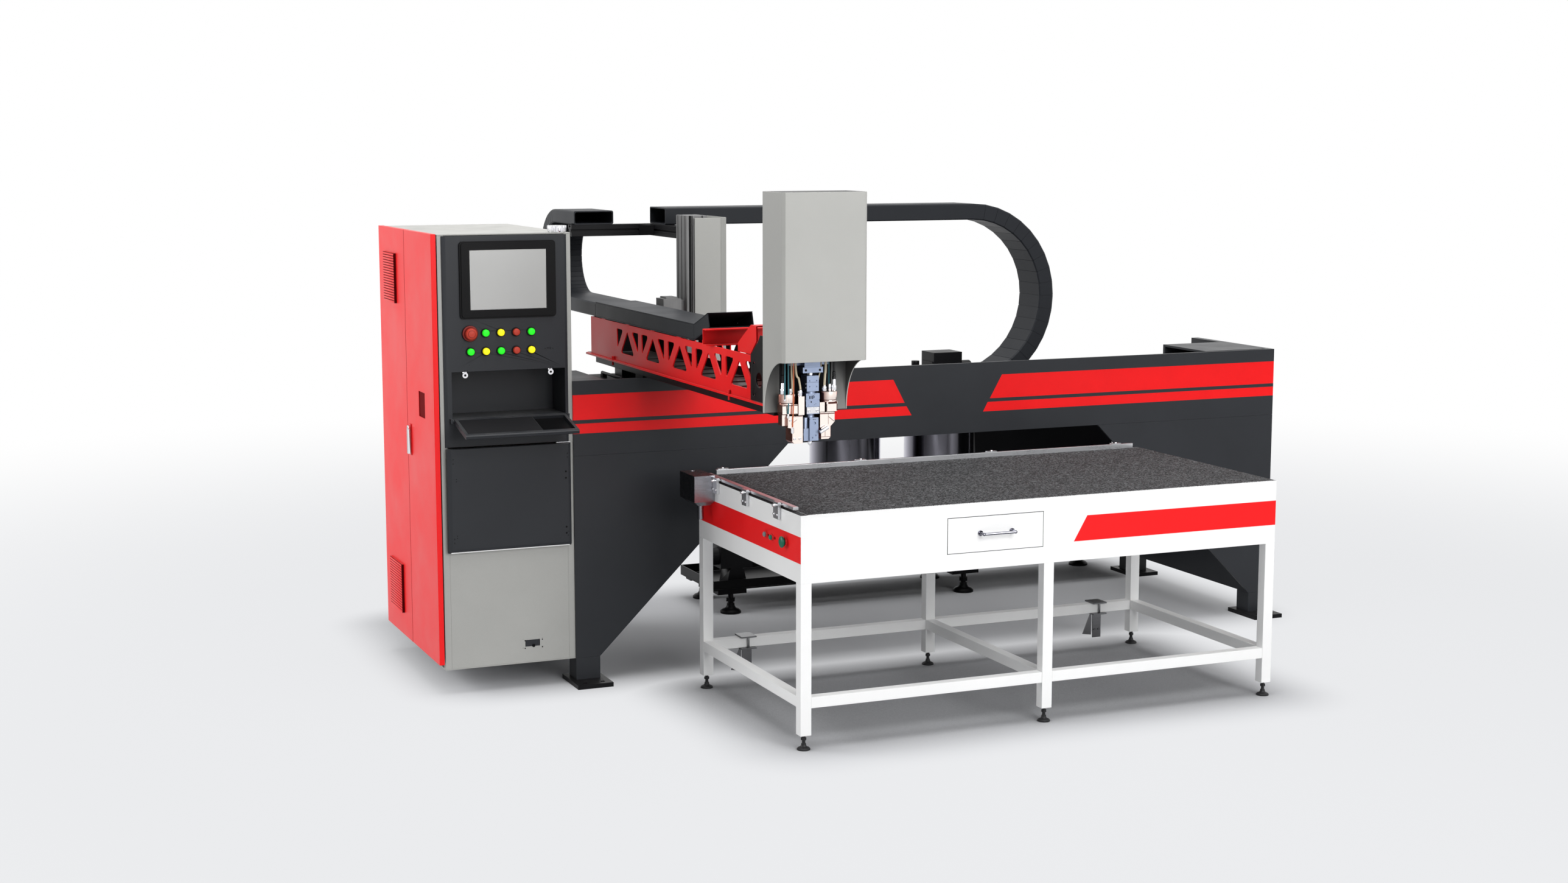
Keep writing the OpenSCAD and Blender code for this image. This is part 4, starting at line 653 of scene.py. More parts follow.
CRUMB_DEPTH = 0.0006
tree, place, facing = new_finish("speckled_top")
mat = use(tree, granules, Place=place)
side = spread(tree, parts_of(tree, facing)["Z"], 0.4, 0.6, 1.0, 0.0)
close_finish(tree, mat["Height"], CRUMB_DEPTH,
             {"Base Color": mixed(tree, side, mat["Colour"], WHITE), "Roughness": 0.72,
              "Specular IOR Level": 0.1})
print("finishes:", len(finish))

# %% [markdown]
# ## Shaded places
# Deep places look darker than their paint, because little light gets in. Many more light
# bounces would show it, but take long. Here a mask tells where such a place lies, and the
# same paint gets a darker tone there.

# %% Shaded paints
INSIDE_FROM = at(-159, 68, 0)
INSIDE_TO = at(90.6, 0, 1400)
COVER_WALL = 0.003
COVER_CORNER = 0.013
# Levels between which the cover's inside gets darker, in metres, and the mask at each
COVER_FADE = (1.18, 1.45, 0.45, 1.0)


def inside_truss(tree, place):
    """1 between the truss's two webs, which shade each other."""
    parts = parts_of(tree, place)
    return product(tree, calc(tree, "GREATER_THAN", parts["X"], INSIDE_FROM.x),
                   calc(tree, "LESS_THAN", parts["X"], INSIDE_TO.x),
                   calc(tree, "GREATER_THAN", parts["Y"], INSIDE_FROM.y),
                   calc(tree, "LESS_THAN", parts["Z"], INSIDE_TO.z))


def deep_in_truss(tree, place):
    """The same space further back, where hardly any light comes in."""
    depth = spread(tree, parts_of(tree, place)["Y"], at(0, 250, 0).y, at(0, 900, 0).y)
    return product(tree, inside_truss(tree, place), depth)


def inside_cover(tree, place):
    """1 on the inner faces of the head's cover, where little light comes in."""
    low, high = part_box("head_cover")
    parts = parts_of(tree, place)
    from_left = calc(tree, "SUBTRACT", parts["X"], low.x)
    beside = calc(tree, "MINIMUM", from_left, calc(tree, "SUBTRACT", high.x, parts["X"]))
    behind = calc(tree, "SUBTRACT", parts["Y"], low.y)
    return product(tree, calc(tree, "GREATER_THAN", calc(tree, "MINIMUM", beside, behind), COVER_WALL),
                   calc(tree, "GREATER_THAN", calc(tree, "ADD", beside, behind), COVER_CORNER),
                   spread(tree, parts["Z"], *COVER_FADE))


painted("deep_black", colour(13, 13, 14), 0.34, mottle=0.2, dust=0.0, shine=0.06)
painted("cover_paint", colour(176, 176, 172), 0.5, mottle=0.07, dust=0.0,
        masks=[(inside_cover, colour(52, 52, 52))])
painted("truss_paint", RED, 0.38, mottle=0.06,
        masks=[(inside_truss, colour(84, 8, 10)), (deep_in_truss, colour(22, 4, 5))])
print("finishes with the shaded ones:", len(finish))

# %% [markdown]
# ## Edges that catch the light
# No folded sheet or milled block has a perfectly sharp edge, and the thin bright line along
# an edge is what makes metal look real. The Weld modifier joins the loaded triangles and
# Bevel rounds the edges; both act on top of the CAD meshes and leave them untouched. Only
# faces on round walls are shaded smooth, so flat sheets stay perfectly flat.

# %% Dress the CAD nodes
EDGE_WIDTH = {"front_panel": 0.3, "side_frames": 0.3, "cabinet_front": 2.0, "cabinet_shell": 1.5,
              "head_fittings": 0.4, "rotor": 0.3, "head_block": 0.7, "valve_blocks": 1.4,
              "control_rack": 0.3, "monitor": 2.0, "table_brackets": 0.6, "tanks": 1.0,
              "table_feet": 0.5, "cabinet_fittings": 0.4, "drawer_handle": 0.4, "door_handle": 0.6,
              "keyboard_shelf": 0.8, "drawer": 0.8, "fence_bars": 0.8}
USUAL_EDGE = 1.2
SMALL_EDGE = 0.3
SMALL = ("button_", "table_button", "table_stop", "emergency_stop")
OWN_FINISH = {"front_panel": "panel_paint", "table_body": "table_paint", "platform": "deep_black",
              "arm_truss": "truss_paint", "head_cover": "cover_paint", "table_button_green": "green_lens",
              "drawer_handle": "handle_chrome", "table_brackets": "bracket_steel",
              "purge_box": "box_steel", "y_chain_lower": "chain_paint", "carriage_ducts": "chain_paint"}
ROUND_FROM, ROUND_TO, BEVEL_FROM = (math.radians(angle) for angle in (1, 35, 38))
WELD_REACH = 0.00001


def smooth_curves(mesh):
    """Smooth shading for the faces of round walls: their neighbours turn only a little."""
    borders = {}
    for face in mesh.polygons:
        spots = [tuple(round(v, 5) for v in mesh.vertices[i].co) for i in face.vertices]
        for one, two in zip(spots, spots[1:] + spots[:1]):
            borders.setdefault(tuple(sorted((one, two))), []).append(face)
    curved = set()
    for pair in borders.values():
        if len(pair) == 2 and ROUND_FROM < pair[0].normal.angle(pair[1].normal, 0) < ROUND_TO:
            curved.update(face.index for face in pair)
    for face in mesh.polygons:
        face.use_smooth = face.index in curved


def round_edges(piece, width):
    """Weld and Bevel modifiers; the width is in mm."""
    piece.modifiers.new("weld", "WELD").merge_threshold = WELD_REACH
    edge = piece.modifiers.new("edge", "BEVEL")
    edge.width = width * MM
    edge.segments = 2
    edge.limit_method = "ANGLE"
    edge.angle_limit = BEVEL_FROM


for name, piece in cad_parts.items():
    for i, old in enumerate(piece.data.materials):
        piece.data.materials[i] = finish[OWN_FINISH.get(name, old.name.split(".")[0])]
    round_edges(piece, SMALL_EDGE if name.startswith(SMALL) else EDGE_WIDTH.get(name, USUAL_EDGE))
    smooth_curves(piece.data)
print("dressed nodes:", len(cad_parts))

# %% [markdown]
# ## Building pieces from rings
# Hoses, chain links, screws and knobs have one thing in common: a closed outline that is
# carried along a path. The helpers below skin such rings with quads in bmesh, close the
# ends, and turn the result into a named piece that rides on one of the machine's bodies.

# %% Ring helpers
def bridge(mesh, one, two):
    """Quads between two rings of corners."""
    for i in range(len(one)):
        j = (i + 1) % len(one)
        mesh.faces.new((one[i], one[j], two[j], two[i]))


def loft(mesh, rings, closed=True):
    """Skins rings of points with quads; closed adds a cap on the first and last ring."""
    rows = [[mesh.verts.new(point) for point in ring] for ring in rings]
    for one, two in zip(rows, rows[1:]):
        bridge(mesh, one, two)
    if closed:
        mesh.faces.new(rows[0])
        mesh.faces.new(rows[-1])
    return rows


def circle(centre, side, other, radius, count):
    """Ring of points round a centre; the radius is in mm."""
    angles = [2 * math.pi * i / count for i in range(count)]
    return [centre + (side * math.cos(t) + other * math.sin(t)) * radius * MM for t in angles]


def finished(mesh, name, body, slot, width=0.0, look=None):
    """Turns a bmesh into a piece with a body to ride on; look names a finish other than the slot's."""
    bmesh.ops.recalc_face_normals(mesh, faces=mesh.faces)
    data = bpy.data.meshes.new(name)
    mesh.to_mesh(data)
    mesh.free()
    data.materials.append(finish[look or slot])
    piece = placed(name, data)
    smooth_curves(data)
    if width:
        round_edges(piece, width)
    if body:
        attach(piece, body)
    return piece


def block(mesh, x, y, z):
    """Box between pairs of millimetres, added to a mesh."""
    loft(mesh, [[at(a, b, level) for a, b in rectangle(x, y)] for level in z])


def turned(mesh, centre, axis, profile, sides=24):
    """Lathe shape: profile is (distance along axis, radius) pairs in mm from a centre in mm."""
    axis = Vector(axis).normalized()
    side = axis.orthogonal().normalized()
    other = axis.cross(side)
    start = at(*centre)
    loft(mesh, [circle(start + axis * along * MM, side, other, radius, sides) for along, radius in profile])


print("ring helpers ready")

# %% [markdown]
# ## The drag chains
# A drag chain is a row of hollow links. Its upper run is held by the moving carriage, its
# bend rolls along at half the speed, and its lower run lies still in a tray. The bend and
# the lower run ride on the rolling body. The upper run is one band between the carriage and
# the bend, and here it rides on no body.

# %% Drag chains
WALL = 5.0
CHAMFER = 5.0
SEAM = 1.6
LINKS_PER_TURN = 20
X_WAY, Y_WAY, UP = Vector((1, 0, 0)), Vector((0, 1, 0)), Vector((0, 0, 1))


def link_ring(centre, along, up, half, inset=0.0):
    """Outline of one link: a rectangle with chamfered corners, across the chain's path."""
    w, h, c = half[0] - inset, half[1] - inset, CHAMFER
    outline = [(-w + c, -h), (w - c, -h), (w, -h + c), (w, h - c),
               (w - c, h), (-w + c, h), (-w, h - c), (-w, -h + c)]
    across = along.cross(up)
    return [centre + (across * a + up * b) * MM for a, b in outline]


def chain_piece(name, body, stations, half, seams=True):
    """Hollow chain along stations of (centre, direction, up), with a thin seam after each link."""
    mesh = bmesh.new()
    outer = []
    for i, (centre, along, up) in enumerate(stations):
        edge = along * SEAM * 0.5 * MM
        rings = [(centre, 0.0)]
        if seams and 0 < i < len(stations) - 1:
            rings = [(centre - edge, 0.0), (centre - edge, SEAM), (centre + edge, SEAM), (centre + edge, 0.0)]
        for middle, inset in rings:
            outer.append(link_ring(middle, along, up, half, inset))
    outside = loft(mesh, outer, closed=False)
    inside = loft(mesh, [link_ring(*station, half, WALL) for station in stations], closed=False)
    bridge(mesh, outside[0], inside[0])
    bridge(mesh, outside[-1], inside[-1])
    return finished(mesh, name, body, "charcoal_paint", look="chain_paint")


def chain_turn(across, centre, radius, half, leg_end, direction):
    """Stations round the bend and back along the lower run, in mm on the chain's own plane."""
    middle = radius - half[1]
    spots = []
    for i in range(LINKS_PER_TURN + 1):
        turn = math.pi * i / LINKS_PER_TURN
        up = direction * math.sin(turn) + UP * math.cos(turn)
        along = direction * math.cos(turn) - UP * math.sin(turn)
        spots.append((at(*across(*centre)) + up * middle * MM, along, up))
    pitch = math.pi * radius / LINKS_PER_TURN
    count = round(abs(centre[0] - leg_end) / pitch)
    low = centre[1] - middle
    for i in range(1, count + 1):
        reach = centre[0] + (leg_end - centre[0]) * i / count
        spots.append((at(*across(reach, low)), -direction, -UP))
    return spots


def straight(across, start, end, level, steps, way, up):
    """Evenly spaced stations of a straight run, in mm on the chain's own plane."""
    return [(at(*across(start + (end - start) * i / steps, level)), way, up) for i in range(steps + 1)]


print("links in a half turn:", LINKS_PER_TURN)

# %% [markdown]
# ## The runs of the two chains
# The large chain lies along X behind the beam, and the small one along Y over the arm. Both
# follow from the middle of their bend, its outer radius and half a link's width and height.
# The upper runs stretch between two bodies, which a rigid piece can't do; here they are
# plain pieces that ride on no body.

# %% Chain runs
X_BEND, X_RADIUS, X_HALF, X_MIDDLE = (1649, 1438), 423, (97, 36), 1948
Y_BEND, Y_RADIUS, Y_HALF, Y_MIDDLE = (2330, 1632), 214, (88.5, 29), -76.5
TAIL_HALF = (80.5, 20)
X_UPPER = X_BEND[1] + X_RADIUS - X_HALF[1]
Y_UPPER = Y_BEND[1] + Y_RADIUS - Y_HALF[1]
Y_LEG_LEVEL = Y_BEND[1] - (Y_RADIUS - Y_HALF[1])


def on_x(reach, level):
    """Point on the middle plane of the large chain."""
    return (reach, X_MIDDLE, level)


def on_y(reach, level):
    """Point on the middle plane of the small chain."""
    return (Y_MIDDLE, reach, level)


x_turn = chain_turn(on_x, X_BEND, X_RADIUS, X_HALF, 620, X_WAY)
y_turn = chain_turn(on_y, Y_BEND, Y_RADIUS, Y_HALF, Y_BEND[0], Y_WAY)
y_tail = [(at(*on_y(reach, Y_LEG_LEVEL)), -Y_WAY, -UP) for reach in (1768, 1700, 1634)]
leg_stations = straight(on_y, 2329.5, 1767, Y_LEG_LEVEL, 24, -Y_WAY, -UP)
x_stations = straight(on_x, 178.5, X_BEND[0], X_UPPER, 48, X_WAY, UP)
y_stations = straight(on_y, 2045, Y_BEND[0], Y_UPPER, 24, Y_WAY, UP)
chain_piece("x_chain_bend", "x_chain_loop", x_turn, X_HALF)
chain_piece("y_chain_bend", "y_chain_loop", y_turn, Y_HALF)
y_leg = chain_piece("y_chain_leg", "y_chain_loop", leg_stations, Y_HALF, seams=False)
chain_piece("y_chain_tail", "y_chain_loop", y_tail, TAIL_HALF, seams=False)
x_run = chain_piece("x_chain_run", None, x_stations, X_HALF, seams=False)
y_run = chain_piece("y_chain_run", None, y_stations, Y_HALF, seams=False)
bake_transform(x_run)
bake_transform(y_run)
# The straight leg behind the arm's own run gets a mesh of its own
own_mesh(y_leg)
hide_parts("y_chain_loop")
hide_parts("x_chain_loop", "carriage_ducts")
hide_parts("y_chain_loop")
print("stations round the bends:", len(x_turn), "and", len(y_turn))

# %% [markdown]
# ## Hoses of the mixing head
# Each hose is a circle swept along a smooth curve. The curve passes through a few points
# that a fitter could measure: the mouth of the fitting, a bend or two, and the place where
# the hose disappears in the cover. At every station the circle is turned only as much as
# the path turns, so the wall doesn't twist.

# %% Hoses
HOSE_SIDES = 12
HOSE_STEPS = 8


def smooth_path(spots):
    """Points on a Catmull-Rom curve through spots in mm."""
    points = [Vector(spot) for spot in spots]
    points = [points[0] * 2 - points[1]] + points + [points[-1] * 2 - points[-2]]
    path = []
    for a, b, c, d in zip(points, points[1:], points[2:], points[3:]):
        for i in range(HOSE_STEPS):
            t = i / HOSE_STEPS
            path.append(0.5 * ((b * 2) + (c - a) * t + (a * 2 - b * 5 + c * 4 - d) * t ** 2
                               + (b * 3 - a - c * 3 + d) * t ** 3))
    path.append(points[-2])
    return path


def tube(mesh, spots, radius):
    """Sweeps a circle along a smooth curve."""
    path = smooth_path(spots)
    side = X_WAY
    rings = []
    for i, point in enumerate(path):
        along = (path[min(i + 1, len(path) - 1)] - path[max(i - 1, 0)]).normalized()
        side = (side - along * side.dot(along)).normalized()
        rings.append(circle(at(*point), side, along.cross(side), radius, HOSE_SIDES))
    loft(mesh, rings)


moulded("hose_teal", colour(44, 108, 118), 0.28, coat=0.4, texture=300.0)
moulded("hose_amber", colour(206, 112, 70), 0.28, coat=0.4, texture=300.0)
moulded("cable_black", colour(24, 24, 26), 0.4, texture=300.0)
HOSE_TOP = 1690
hoses = {
    "hose": [
        ([(-77, -172, 1311), (-78, -172, 1326), (-83, -172, 1352), (-94, -170, 1400),
          (-98, -168, HOSE_TOP)], 3.8),
        ([(-103, -160, 1306), (-103, -160, 1340), (-105, -160, 1400), (-106, -160, HOSE_TOP)], 3.0),
        ([(12, -172, 1321), (12, -172, 1334), (14, -172, 1362), (17, -171, 1410), (18, -170, HOSE_TOP)], 4.3),
        ([(-9, -160, 1318), (-8, -160, 1332), (-2, -160, 1362), (5, -160, 1410), (6, -160, HOSE_TOP)], 2.4)],
    "hose_teal": [
        ([(-139, -184, 1287), (-139, -184, 1340), (-139, -184, HOSE_TOP)], 2.4),
        ([(-127, -184, 1236), (-127, -187, 1262), (-127, -187, 1310), (-127, -184, 1400),
          (-127, -182, HOSE_TOP)], 2.4),
        ([(34, -160, 1307), (34, -160, 1400), (34, -160, HOSE_TOP)], 2.2)],
    "hose_amber": [
        ([(-112, -187, 1191), (-111, -187.5, 1230), (-109, -187.5, 1280), (-108, -185, 1400),
          (-108, -182, HOSE_TOP)], 2.4)],
    "cable_black": [
        ([(-141, -171, 1341), (-141, -171, 1400), (-141, -171, HOSE_TOP)], 3.6),
        ([(48, -171, 1346), (48, -171, 1400), (48, -171, HOSE_TOP)], 3.6)],
}
# Strain relief of a black cable: height above its fitting and radius, in mm
RELIEF = [(0, 5.5), (2, 6.4), (10, 6.4), (11, 5.4), (13, 5.4), (14, 6.2), (17, 6.2), (18, 5.2), (20, 5.2),
          (21, 5.8), (25, 5.4), (28, 3.4)]
for look, runs in hoses.items():
    mesh = bmesh.new()
    for spots, radius in runs:
        tube(mesh, spots, radius)
    if look == "cable_black":
        for x, z in ((-141, 1341), (48, 1346)):
            turned(mesh, (x, -171, z), UP, RELIEF)
    piece = finished(mesh, look + "_runs", "head", "hose", look=look)
    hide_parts("hoses")
print("hoses and cables:", sum(len(runs) for runs in hoses.values()))

# %% [markdown]
# ## Small parts of the mixing head
# Fittings, screws and the nozzle's ball are turned parts: a profile rotated about an axis.
# A socket screw is a ring with a dark bottom, a painted shade that reads as a hexagon socket from here.

# %% Head details
FRONT_WAY = Vector((0, -1, 0))
LEFT_WAY = Vector((-1, 0, 0))
HEX = 6
HEAD_FRONT = -182


def dots(mesh, spots, radius, front, proud=0.15, sides=16):
    """Flat dark discs on a front face, painted shade that stands for screw holes seen from here."""
    for x, z in spots:
        turned(mesh, (x, front, z), FRONT_WAY, [(0, radius), (proud, radius)], sides)


def socket_screw(rim, hole, centre, way, radius, proud=2.0):
    """Screw head with a socket: a ring on one mesh and its dark bottom, a painted shade, on the other."""
    inner = radius * 0.52
    ring = [(-0.5, radius), (proud - 0.4, radius), (proud, radius - 0.4), (proud, inner)]
    turned(rim, centre, way, ring, 20)
    turned(hole, centre, way, [(proud - 0.2, inner), (proud + 0.05, inner * 0.98)], HEX)


bright, dark = bmesh.new(), bmesh.new()
# Nuts of the thin hoses
for x, y, low, high, radius in ((-127, -184, 1219, 1236, 4.2), (-112, -187, 1169, 1191, 5.2)):
    tall = high - low
    turned(bright, (x, y, low), UP, [(0, radius * 0.7), (3, radius * 0.7), (3, radius), (tall - 5, radius),
                                     (tall - 4, radius * 0.8), (tall, radius * 0.72)], HEX)
turned(bright, (-139, -184, 1281), UP, [(0, 4.4), (5, 4.4), (6, 3.2)], 16)
# Nuts of the wide hoses
for x, z, radius in ((-77, 1311, 7.5), (12, 1321, 6.5)):
    turned(bright, (x, -172, z), UP, [(-8, radius + 1), (-2, radius + 1), (-2, radius), (3, radius - 1.2),
                                      (6, 4.4)], HEX)
turned(bright, (-9, -160, 1306), UP, [(0, 4.6), (9, 4.6), (12, 3)], 16)
# Ball below the nozzle
turned(bright, (-35, -157, 1122.6), UP,
       [(0, 3.2), (2, 5.2), (5, 7.0), (9, 7.6), (13, 7.0), (16.5, 5.0)])
# Clamp, drive body and mid block
for x in (-61, -9):
    turned(dark, (x, HEAD_FRONT, 1381), FRONT_WAY, [(-3, 4.2), (0.3, 4.2)], 20)
for z in (1321, 1334):
    socket_screw(bright, dark, (-57, -171, z), LEFT_WAY, 4.2, 1.4)
for x in (-46, -38):
    dots(dark, [(x, 1287), (x, 1292)], 2.1, HEAD_FRONT, 0.25, 12)
    block(dark, (x - 1.9, x + 1.9), (HEAD_FRONT - 0.25, HEAD_FRONT), (1283, 1292))
for x, z, radius in ((-41, 1273, 2.6), (-51, 1297, 1.1), (-28, 1298, 1.1), (-51, 1263, 1.0), (-29, 1263, 1.0),
                     (-24, 1266, 1.2), (-46, 1213, 1.3), (-33, 1213, 1.6), (-27, 1213, 1.6)):
    dots(dark, [(x, z)], radius, HEAD_FRONT, 0.25, 12)
block(dark, (-57.2, -12.8), (-182.15, -181.9), (1339.6, 1340.4))
finished(bright, "head_nuts", "head", "bright_chrome", width=0.2)
finished(dark, "head_sockets", "head", "black_paint")
print("hose nuts and sockets ready")

# %% [markdown]
# ## Lines on the valve blocks
# The copper blocks meet in thin dark seams. Cutting grooves that narrow needs many faces, so
# each seam is a thin dark bar that stands a third of a millimetre before the face. The plate
# of the head's clamp is bright, with two socket screws.

# %% Valve lines
painted("copper_line", colour(86, 46, 38), 0.5, mottle=0.1, dust=0.0, shine=0.08)
lines = bmesh.new()
for x, low in ((-123, 1266), (32, 1270)):
    turned(lines, (x, -160, low), UP, [(5.1, 24.9), (5.2, 26.8), (7.8, 26.8), (7.9, 24.9)], 40)
# Seams between the valve blocks: left and right end, the face they lie on, lower and upper end
SEAMS = [
    ((-146, -89), -180, (1262.6, 1265.6)), ((-146, -89), -180, (1233.2, 1235.6)),
    ((-109, -74.5), -186, (1225.6, 1227.8)), ((-89.6, -88.2), -181.5, (1236, 1290)),
    ((-130, -128.6), -186, (1190.5, 1226)), ((-113.5, -112.2), -186, (1143, 1186)),
    ((24, 57), -178, (1262.5, 1270.6)), ((18.4, 19.8), -178, (1238, 1262.4)),
    ((55, 57.8), -178, (1238, 1262.4)),
    ((-7.8, 45.8), HEAD_FRONT, (1229.2, 1232.4)), ((22, 23.2), HEAD_FRONT, (1194, 1229)),
    ((9.8, 11), HEAD_FRONT, (1152, 1187)), ((-7.8, 31.8), HEAD_FRONT, (1151, 1152.4)),
    ((30.6, 31.8), HEAD_FRONT, (1152.6, 1187.6)),
]
for x, face, z in SEAMS:
    block(lines, x, (face - 0.35, face + 0.5), z)


def slanted_line(mesh, start, end, width, face):
    """Thin raised line between two points (x, z) on a front face."""
    way = Vector((end[0] - start[0], end[1] - start[1])).normalized()
    side = Vector((-way.y, way.x)) * width / 2
    corners = [Vector(start) - side, Vector(end) - side, Vector(end) + side, Vector(start) + side]
    loft(mesh, [[at(x, depth, z) for x, z in corners] for depth in (face - 0.35, face + 0.3)])


slanted_line(lines, (-116.5, 1201.7), (-95.9, 1215.2), 1.0, -186)
slanted_line(lines, (24, 1219.4), (44.5, 1202.6), 1.8, HEAD_FRONT)
finished(lines, "valve_lines", "head", "valve_copper", look="copper_line")

plate, sockets = bmesh.new(), bmesh.new()
block(plate, (-59, -13), (-186.4, -184.8), (1234, 1255))
for x in (-53, -19):
    socket_screw(plate, sockets, (x, -186.4, 1245), FRONT_WAY, 4.6, 1.2)
finished(plate, "head_clamp_plate", "head", "bright_chrome", width=0.3)
finished(sockets, "head_clamp_sockets", "head", "black_paint")
print("seams on the valve blocks:", len(SEAMS))

# %% [markdown]
# ## Screw holes of the cabinet
# The holes are thin dark discs that stand a few tenths of a millimetre before the sheet; their black is the
# painted shade inside a hole.
# Real holes would need many faces in a large plain panel, and look the same from here. Each
# disc rides on the door or panel that carries it, so it moves when the door opens. The white
# strip along the lower door's bottom edge, a painted highlight, is made here too.

# %% Cabinet screw holes
PANEL_FRONT = 1230
DOOR_FRONT = 1213
LIP_FRONT = PANEL_FRONT + 8

mesh = bmesh.new()
dots(mesh, [(x, 1273.6) for x in (-867.6, -858.3, -526.4, -517)], 1.7, PANEL_FRONT)
dots(mesh, [(-849.3, 1295), (-534.3, 1296)], 1.1, PANEL_FRONT)
dots(mesh, [(-547.5, 1347), (-516.5, 1347)], 1.8, PANEL_FRONT)
dots(mesh, [(-644.7, 194.5), (-574.3, 194.5), (-644.7, 164), (-574.3, 164)], 2.6, LIP_FRONT)
dots(mesh, [(x, 1255.6) for x in (-866, -525)], 4.6, PANEL_FRONT + 2, 0.3)
dots(mesh, [(-610, 172)], 6.5, LIP_FRONT, 0.4)
finished(mesh, "panel_holes", "root", "black_paint", look="deep_black")
mesh = bmesh.new()
dots(mesh, [(-914.5, z) for z in (858, 849, 637, 628)], 1.8, DOOR_FRONT)
dots(mesh, [(-475.7, z) for z in (863, 837.5, 643, 618.5)], 3.8, DOOR_FRONT)
finished(mesh, "lower_door_holes", "lower_door", "black_paint", look="deep_black")
mesh = bmesh.new()
# A white strip along the door's bottom edge: painted highlight
block(mesh, (-938, -462), (1219.6, 1222.2), (567.9, 571.4))
finished(mesh, "lower_door_edge_highlight", "lower_door", "white_paint")
print("screw holes and door lip ready")

# %% [markdown]
# ## Mats, seals and shades
# Two thin mats lie on the shelf, which slopes towards the operator. Dark strips stand for the
# rubber in a door gap and, as painted shade, for the shade between the side doors, behind the
# side door's window, in the column's slot, on the cabinet's post and under each louvre slat: a
# thin strip shows more surely than a gap that has to fill with shadow. The stop gets its
# collar and its ring here.

# %% Mats, seals and shades
DOOR_OUT = -993
SLATS = 19
SHELF_FRONT, SHELF_LEVEL = 1219.5, 1082
TILT = Matrix.Rotation(math.radians(13.3), 3, "X")
MAT_DEPTH = (-163, -15)
for name, x, low in (("key_mat", (-904.5, -611.5), 7.05), ("pointer_mat", (-609.5, -483.5), -1.95)):
    mesh = bmesh.new()
    rings = []
    for level in (low, low + 0.4):
        tilted = [(side, TILT @ Vector((0, y, level))) for side, y in rectangle(x, MAT_DEPTH)]
        rings.append([at(side, SHELF_FRONT + spot.y, SHELF_LEVEL + spot.z) for side, spot in tilted])
    loft(mesh, rings)
    look = "mat_dark" if name == "key_mat" else "deep_black"
    finished(mesh, name, "keyboard_shelf", "charcoal_paint", look=look)


def piece_of(body, slot, name, boxes, width=0.0, look=None):
    """One piece made of boxes in mm."""
    mesh = bmesh.new()
    for x, y, z in boxes:
        block(mesh, x, y, z)
    finished(mesh, name, body, slot, width, look)


# Thin boxes: body, slot, finish and rounded edge, then the box along X, Y and Z
THIN_PIECES = {
    "door_seal": ("root", "black_paint", "deep_black", 0, (-988.4, -985.6), (1232.6, 1237.8), (131, 1788)),
    "post_shade": ("root", "black_paint", "profile_alu", 0, (-985.4, -973.4), (1236.9, 1237.8),
                   (569, 1788)),
    # A black strip on the column's face: painted shade of its slot
    "column_slot": ("carriage", "ground_steel", "deep_black", 0, (168, 177.5), (1540.5, 1541.2),
                    (1300, 1838.6)),
    "outlet_plate": ("root", "charcoal_paint", None, 0, (-642, -586), (1240.2, 1241.6), (171, 196)),
    "latch_tab": ("root", "bright_chrome", None, 0.6, (-509, -452), (1226.5, 1234), (976.2, 978.6)),
    # Dark red strip in the gap between the side doors: painted shade
    "door_gap_seal": ("root", "red_paint", "shaded_red", 0, (-992.4, -991.4), (1657.8, 1660.2),
                      (133, 1795)),
    # Dark red plate behind the side door's window cut: painted shade of the opening
    "window_liner": ("side_door_front", "red_paint", "shaded_red", 0, (-989.8, -988.8), (1360, 1471),
                     (1071, 1184)),
}
for name, (body, slot, look, rounding, *box) in THIN_PIECES.items():
    piece_of(body, slot, name, [box], rounding, look)
slat_shades = []
for y, z in (((1800, 1990), (1496, 1697)), ((1792, 2000), (225, 427))):
    pitch = (z[1] - z[0]) / SLATS
    # The louvre's front end in shade, then a dark strip under each slat: painted shade
    slat_shades.append(((-1002.8, DOOR_OUT - 0.2), (y[0] - 0.5, y[0] - 0.1), z))
    for i in range(SLATS):
        level = z[0] + (i + 1) * pitch
        slat_shades.append(((-1001.6, -1000.2), (y[0] + 0.5, y[1] - 0.5), (level - 2.6, level - 0.4)))
piece_of("side_door_rear", "red_paint", "louvre_shade", slat_shades, look="shaded_red")
mesh = bmesh.new()
for z in (953, 921):
    turned(mesh, (-1007.6, 1608, z), LEFT_WAY, [(0, 2.2), (0.25, 2.2)], 12)
finished(mesh, "handle_screws", "door_handle", "black_paint")
# The stop's dark collar on the panel, and the ring on its knob
mesh = bmesh.new()
turned(mesh, (-846, 1221, 1416), FRONT_WAY, [(0, 15), (0.8, 15), (0.8, 29), (0, 30.5)], 40)
finished(mesh, "stop_collar", "root", "button_red", look="stop_ring")
mesh = bmesh.new()
turned(mesh, (-846, 1196.6, 1416), FRONT_WAY,
       [(-0.6, 14.6), (0.5, 14.2), (0.7, 13.6), (0.5, 13.0), (0.2, 12.6)], 40)
finished(mesh, "stop_ring", "emergency_stop", "button_red", look="stop_ring")
print("louvre slats:", 2 * SLATS)

# %% [markdown]
# ## Small parts of the table
# A dark frame lies deep in the gap round the drawer, a painted shade, so the gap reads as a
# line. Beside each small button sits an empty red-brown socket in the shaded red, the painted
# shade of its hollow. Loose crumbs make the mat's front edge ragged: they are tiny boxes whose
# size and place come from a seeded random generator.

# %% Table details
DRAWER_X = (579, 972)
DRAWER_Z = (669, 798)
GAP_LOW, GAP_HIGH = 0.1, 1.9
GAP_DEPTH = (0.4, 3.6)
EDGE_CRUMBS = 900
MAT_ENDS = (30, 1995)
MAT_TOP = 850

